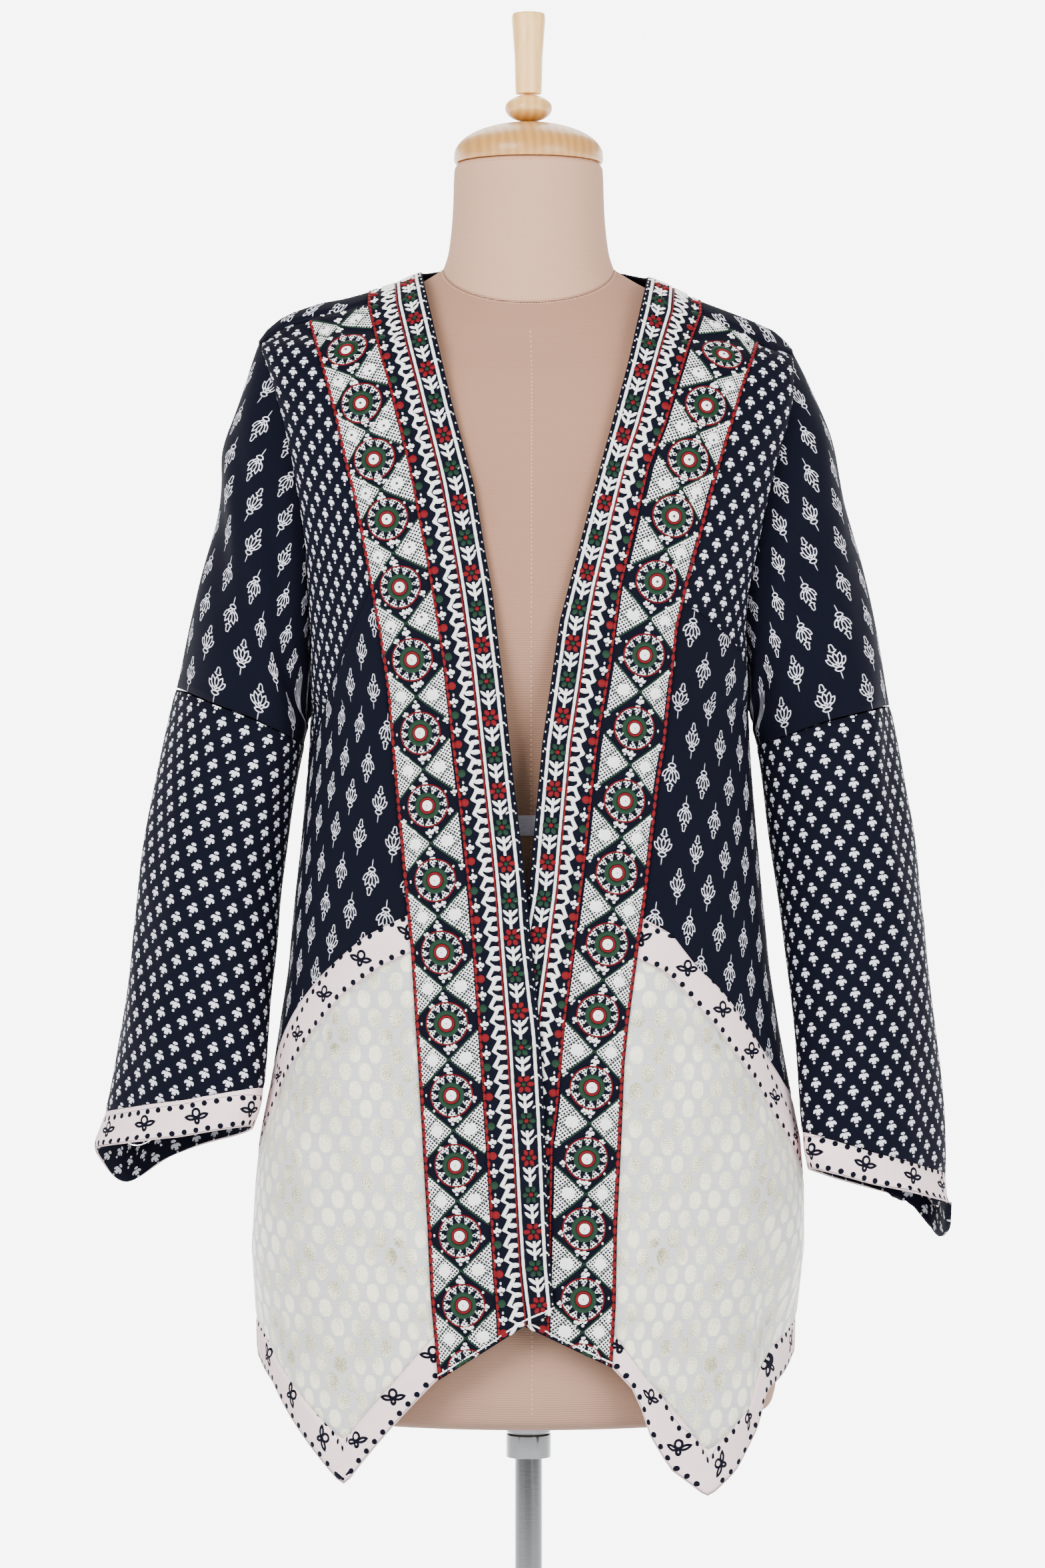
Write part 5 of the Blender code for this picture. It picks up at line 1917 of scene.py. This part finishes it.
# %% Embroidery pieces
for (colour, word), bm in sewing.items():
    bmesh.ops.delete(bm, geom=overhang[colour, word], context="VERTS")
    if SIDES[word]["sign"] < 0:
        bmesh.ops.reverse_faces(bm, faces=bm.faces)
    item = add_piece("embroidery_" + colour + "_" + word, bm, thread_finish[colour])
    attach(item, "root")
    item.data.calc_loop_triangles()
    print(item.name, len(item.data.loop_triangles), "triangles")
for mesh in motifs.values():
    bpy.data.meshes.remove(mesh)

# %% [markdown]
# ## The dress form
# The form is a smooth body without limbs, covered in fine flesh-coloured rib
# knit, with a separate knit neck, a seam down the front and a grey tape at the
# waist. The solids' rings are repeated here, and a curve is run through them so
# that the finer body has no corners. Its rib is too fine to model, so a node
# group draws it as even rows with a slight unevenness.

# %% Knit, seam and tape finishes
BODY_UPPER, BODY_LOWER = (0.335, 0.18, 0.118), (0.385, 0.225, 0.155)
NECK_UPPER, NECK_LOWER = (0.55, 0.325, 0.21), (0.55, 0.325, 0.215)
SEAM_COLOUR, TAPE_COLOUR = (0.66, 0.44, 0.31), (0.72, 0.69, 0.80)


def build_knit():
    tree, given, result = new_group(
        "fine rib knit", {"Place": None, "Rib": 1.3}, ["Height", "Tone"])
    spot = in_mm(given["Place"])
    z = split(spot)[2]
    drift = noise_at(spot, 0.02)
    level = z + drift * 3.0
    rib = calc("SINE", level * (2 * math.pi / given["Rib"]))
    fluff = noise_at(spot, 0.9, 3.0)
    height = rib + fluff * 0.9
    feed(height, result["Height"])
    feed(0.93 + height * 0.045 + drift * 0.08, result["Tone"])
    return tree


def knit_material(name, lower, upper, low, high, rib):
    """Knit whose colour passes from lower to upper between two heights."""
    material, tree, shader = new_material(name, 0.9, 0.04, 0.15)
    place = object_place(tree)
    knit = use_group(tree, rib_knit, Place=place, Rib=rib)
    share = ranged(split(place)[2], From_Min=low, From_Max=high)
    feed(scaled(mix_colour(share, lower, upper), knit["Tone"]), shader.inputs["Base Color"])
    bumped(knit["Height"], 0.12 * MM, 0.5, shader)
    return material


rib_knit = build_knit()
body_knit = knit_material("flesh rib knit", BODY_LOWER, BODY_UPPER, 0.95, 1.15, 1.5)
neck_knit = knit_material("pale rib knit", NECK_LOWER, NECK_UPPER, 1.36, 1.42, 1.2)
seam_thread = knit_material("seam thread", SEAM_COLOUR, SEAM_COLOUR, 0.9, 1.0, 1.2)
tape_weave = knit_material("grey tape", TAPE_COLOUR, TAPE_COLOUR, 0.9, 1.0, 0.9)
print(rib_knit.name, len(rib_knit.nodes), "nodes")

# %% [markdown]
# ### Body and neck
# A dress form is laid out as rings, so the grid of its skin is closed round and
# capped at both ends by drawing the last ring together.

# %% Form rings
FORM_COLUMNS = 96


def form_place(rings, t, angle, grow=0.0):
    """A point on the form: t counts the rings, the angle starts at +X."""
    rows = [Vector(row[:3]) for row in rings], [Vector(row[3:]) for row in rings]
    height, half, front = curve_through(rows[0], t)
    back, drop, rise = curve_through(rows[1], t)
    c, s = math.cos(angle), math.sin(angle)
    depth, lift = (back, rise) if s > 0 else (front, drop)
    return Vector(((half + grow) * c, (depth + grow) * s, height + lift * s)) * MM


def ring_at(rings, height):
    """Ring count t at which the sides of the form pass a height."""
    return halved(0.0, len(rings) - 1.0, lambda t: form_place(rings, t, 0.0).z < height * MM)


def cut_form(name, node, rings, per_ring, material):
    bm = bmesh.new()
    rows = per_ring * (len(rings) - 1)
    table = grid_rows(bm, FORM_COLUMNS, rows)
    for j, row in enumerate(table):
        for i, v in enumerate(row):
            v.co = form_place(rings, j / per_ring, 2 * math.pi * i / FORM_COLUMNS)
    bmesh.ops.remove_doubles(bm, verts=bm.verts, dist=0.02 * MM)
    rims = [e for e in bm.edges if e.is_boundary]
    bmesh.ops.holes_fill(bm, edges=rims, sides=0)
    caps = [f for f in bm.faces if len(f.verts) > 4]
    for share in (0.93, 0.5):
        bmesh.ops.inset_region(bm, faces=caps, thickness=0.0)
        for cap in caps:
            middle = cap.calc_center_median()
            for v in cap.verts:
                v.co = middle + (v.co - middle) * share
    bmesh.ops.poke(bm, faces=caps)
    bmesh.ops.recalc_face_normals(bm, faces=bm.faces)
    item = add_piece(name, bm, material)
    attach(item, "root")
    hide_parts(node)
    print(name, len(item.data.polygons), "faces")


cut_form("form_body_skin", "form_torso", FORM_RINGS, 4, body_knit)
cut_form("form_neck_skin", "form_neck", NECK_RINGS, 5, neck_knit)

# %% [markdown]
# ### Seams and waist tape
# Two lines of stitching are raised on the form: one down the middle of its front
# and one round the neck. A grey woven tape is pinned round the waist.

# %% Seams and tape
STITCH_STEP, MIDDLE_FRONT = 3.1, math.radians(-89.3)
SEAM_FOOT, SEAM_TOP, NECK_STITCHES = 612.0, 1330.0, 180


def stitch_line(bm, places, half):
    """Small raised stitches along a list of (place, outward direction)."""
    for spot, out, way in places:
        made = bmesh.ops.create_cone(bm, cap_ends=True, segments=8, radius1=1.0, radius2=0.5,
                                     depth=1.0)["verts"]
        side = way.cross(out)
        for v in made:
            v.co = spot + (side * v.co.x * half[0] + way * v.co.y * half[1]
                           + out * ((v.co.z + 0.5) * half[2] - SUNK)) * MM


def seam_spot(rings, t, angle):
    """A place on the form with its outward and upward directions."""
    here = form_place(rings, t, angle)
    up = (form_place(rings, t + 0.02, angle) - form_place(rings, t - 0.02, angle)).normalized()
    round_way = (form_place(rings, t, angle + 0.01)
                 - form_place(rings, t, angle - 0.01)).normalized()
    return here, round_way.cross(up).normalized(), up, round_way


seams = bmesh.new()
front = []
height = SEAM_FOOT
while height < SEAM_TOP:
    spot, out, up, _ = seam_spot(FORM_RINGS, ring_at(FORM_RINGS, height), MIDDLE_FRONT)
    front.append((spot, out, up))
    height += STITCH_STEP
stitch_line(seams, front, (0.5, 1.1, 0.45))
around = []
for k in range(NECK_STITCHES):
    spot, out, _, way = seam_spot(FORM_RINGS, len(FORM_RINGS) - 1.12,
                                  2 * math.pi * k / NECK_STITCHES)
    around.append((spot, out, way))
stitch_line(seams, around, (0.45, 0.75, 0.4))
seam_piece = add_piece("form_seam_stitches", seams, seam_thread)
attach(seam_piece, "root")

TAPE_LOW, TAPE_HIGH, TAPE_LIFT, TAPE_THICK = 979.0, 992.0, 0.4, 0.8
tape = bmesh.new()
corners = [(TAPE_LOW, TAPE_LIFT), (TAPE_HIGH, TAPE_LIFT), (TAPE_HIGH, TAPE_LIFT + TAPE_THICK),
           (TAPE_LOW, TAPE_LIFT + TAPE_THICK), (TAPE_LOW, TAPE_LIFT)]
for j, row in enumerate(grid_rows(tape, FORM_COLUMNS, 4)):
    height, lift = corners[j]
    t = ring_at(FORM_RINGS, height)
    for i, v in enumerate(row):
        v.co = form_place(FORM_RINGS, t, 2 * math.pi * i / FORM_COLUMNS, lift)
bmesh.ops.remove_doubles(tape, verts=tape.verts, dist=0.02 * MM)
bmesh.ops.recalc_face_normals(tape, faces=tape.faces)
tape_piece = add_piece("waist_tape_woven", tape, tape_weave, smooth_faces=False)
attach(tape_piece, "root")
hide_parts("waist_tape")
print("seams", len(seam_piece.data.polygons), "faces, tape", len(tape_piece.data.polygons), "faces")

# %% [markdown]
# ### Stand and cap
# The base, pole, collar, wooden cap, ball and finial are turned parts. Each is
# half an outline that is spun round the upright axis, with small rounded edges
# that catch the light. The pole's steel is polished, and the base is brushed.
# The polished steel's colour is set almost black: a painted dark reflection.

# %% Turned parts
WOOD_EDGES = (1.447, 1.466)     # from the warm cap to the pale finial, in metres
WARM_WOOD = (0.52, 0.255, 0.045), (0.42, 0.185, 0.03)
PALE_WOOD = (0.92, 0.58, 0.20), (0.84, 0.46, 0.13)


def wood_material():
    material, tree, shader = new_material("pale turned wood", 0.45)
    place = object_place(tree)
    spot = in_mm(place)
    grain = Wire(add_node(
        tree, "ShaderNodeTexWave", {"wave_type": "BANDS", "bands_direction": "X"},
        Vector=moved(spot, 0, 0, 8, (1.0, 3.0)), Scale=0.055, Distortion=5.0, Detail=3.0,
        Detail_Scale=0.6).outputs["Fac"])
    share = ranged(split(place)[2], From_Min=WOOD_EDGES[0], From_Max=WOOD_EDGES[1])
    warm, pale = (mix_colour(grain, *pair) for pair in (WARM_WOOD, PALE_WOOD))
    feed(mix_colour(share, warm, pale), shader.inputs["Base Color"])
    bumped(grain, 0.1 * MM, 0.25, shader)
    shader.inputs["Coat Weight"].default_value = 0.15
    return material


def steel_material(name, colour, rough_low, rough_high, stretch):
    """Steel with fine brush marks that make its gloss uneven."""
    material, tree, shader = new_material(name, rough_low)
    shader.inputs["Metallic"].default_value = 1.0
    shader.inputs["Base Color"].default_value = (*colour, 1.0)
    marks = noise_at(moved(in_mm(object_place(tree)), 0, 0, 0, stretch), 1.0, 4.0)
    feed(ranged(marks, To_Min=rough_low, To_Max=rough_high), shader.inputs["Roughness"])
    bumped(marks, 0.02 * MM, 0.3, shader)
    return material


def turn_part(name, node, outline, material, steps=96):
    """Spin half an outline of (radius, height) in mm into a closed part."""
    bm = bmesh.new()
    verts = [bm.verts.new((r * MM, 0, z * MM)) for r, z in outline]
    edges = [bm.edges.new(pair) for pair in zip(verts, verts[1:])]
    bmesh.ops.spin(bm, geom=verts + edges, cent=(0, 0, 0), axis=(0, 0, 1),
                   angle=2 * math.pi, steps=steps, use_merge=True)
    bmesh.ops.remove_doubles(bm, verts=bm.verts, dist=0.01 * MM)
    bmesh.ops.recalc_face_normals(bm, faces=bm.faces)
    item = add_piece(name, bm, material)
    item.data.set_sharp_from_angle(angle=math.radians(40))
    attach(item, "root")
    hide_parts(node)
    print(name, len(item.data.polygons), "faces")


def rounded(outline, radius, steps=4):
    """The outline with its inner corners rounded to a radius."""
    points = [Vector(p) for p in outline]
    soft = [points[0]]
    for before, corner, after in zip(points, points[1:], points[2:]):
        a = corner + (before - corner).normalized() * min(radius, (before - corner).length / 2)
        b = corner + (after - corner).normalized() * min(radius, (after - corner).length / 2)
        for k in range(steps + 1):
            f = k / steps
            soft.append(a.lerp(corner, f).lerp(corner.lerp(b, f), f))
    return [tuple(p) for p in soft + [points[-1]]]


def arc_outline(radius, low, tall, start, stop, steps=14):
    return [(radius * math.cos(math.radians(start + (stop - start) * k / steps)),
             low + tall * math.sin(math.radians(start + (stop - start) * k / steps)))
            for k in range(steps + 1)]


turned_wood = wood_material()
# Polished steel with a near-black colour: painted dark reflection
steel_painted_dark_reflection = steel_material("polished steel with painted dark reflection", (0.07, 0.072, 0.075), 0.10, 0.22, (9.0, 9.0))
brushed_steel = steel_material("brushed steel", (0.50, 0.50, 0.53), 0.30, 0.46, (0.8, 60.0))
turn_part("base_disc", "base", rounded(
    [(0, 12), (170, 12), (170, 0), (0, 0)], 1.8), brushed_steel, 160)
turn_part("pole_tube", "pole", rounded(
    [(0, 569.7), (9, 569.7), (9, 12.3), (0, 12.3)], 0.4), steel_painted_dark_reflection, 64)
turn_part("collar_sleeve", "pole_collar", rounded(
    [(0, 599.7), (14.75, 599.7), (14.75, 587), (13.9, 586), (14.75, 585), (14.75, 570), (0, 570)],
    0.5), steel_painted_dark_reflection, 64)
turn_part("neck_cap_wood", "neck_cap", [(0, 1446.7)] + arc_outline(49, 1424.8, 21.9, 88, 0)
          + [(49, 1421.2), (48.2, 1419.8), (0, 1419.8)], turned_wood)
turn_part("cap_ball_wood", "cap_ball", [(0, 1464.9)] + arc_outline(15.5, 1455.95, 8.95, 84, -84)
          + [(0, 1447.0)], turned_wood, 64)
turn_part("cap_finial_wood", "cap_finial", rounded(
    [(0, 1518.6), (10.6, 1518.6), (11.0, 1514), (9.2, 1490), (8.6, 1465.2), (0, 1465.2)], 1.6),
    turned_wood, 64)
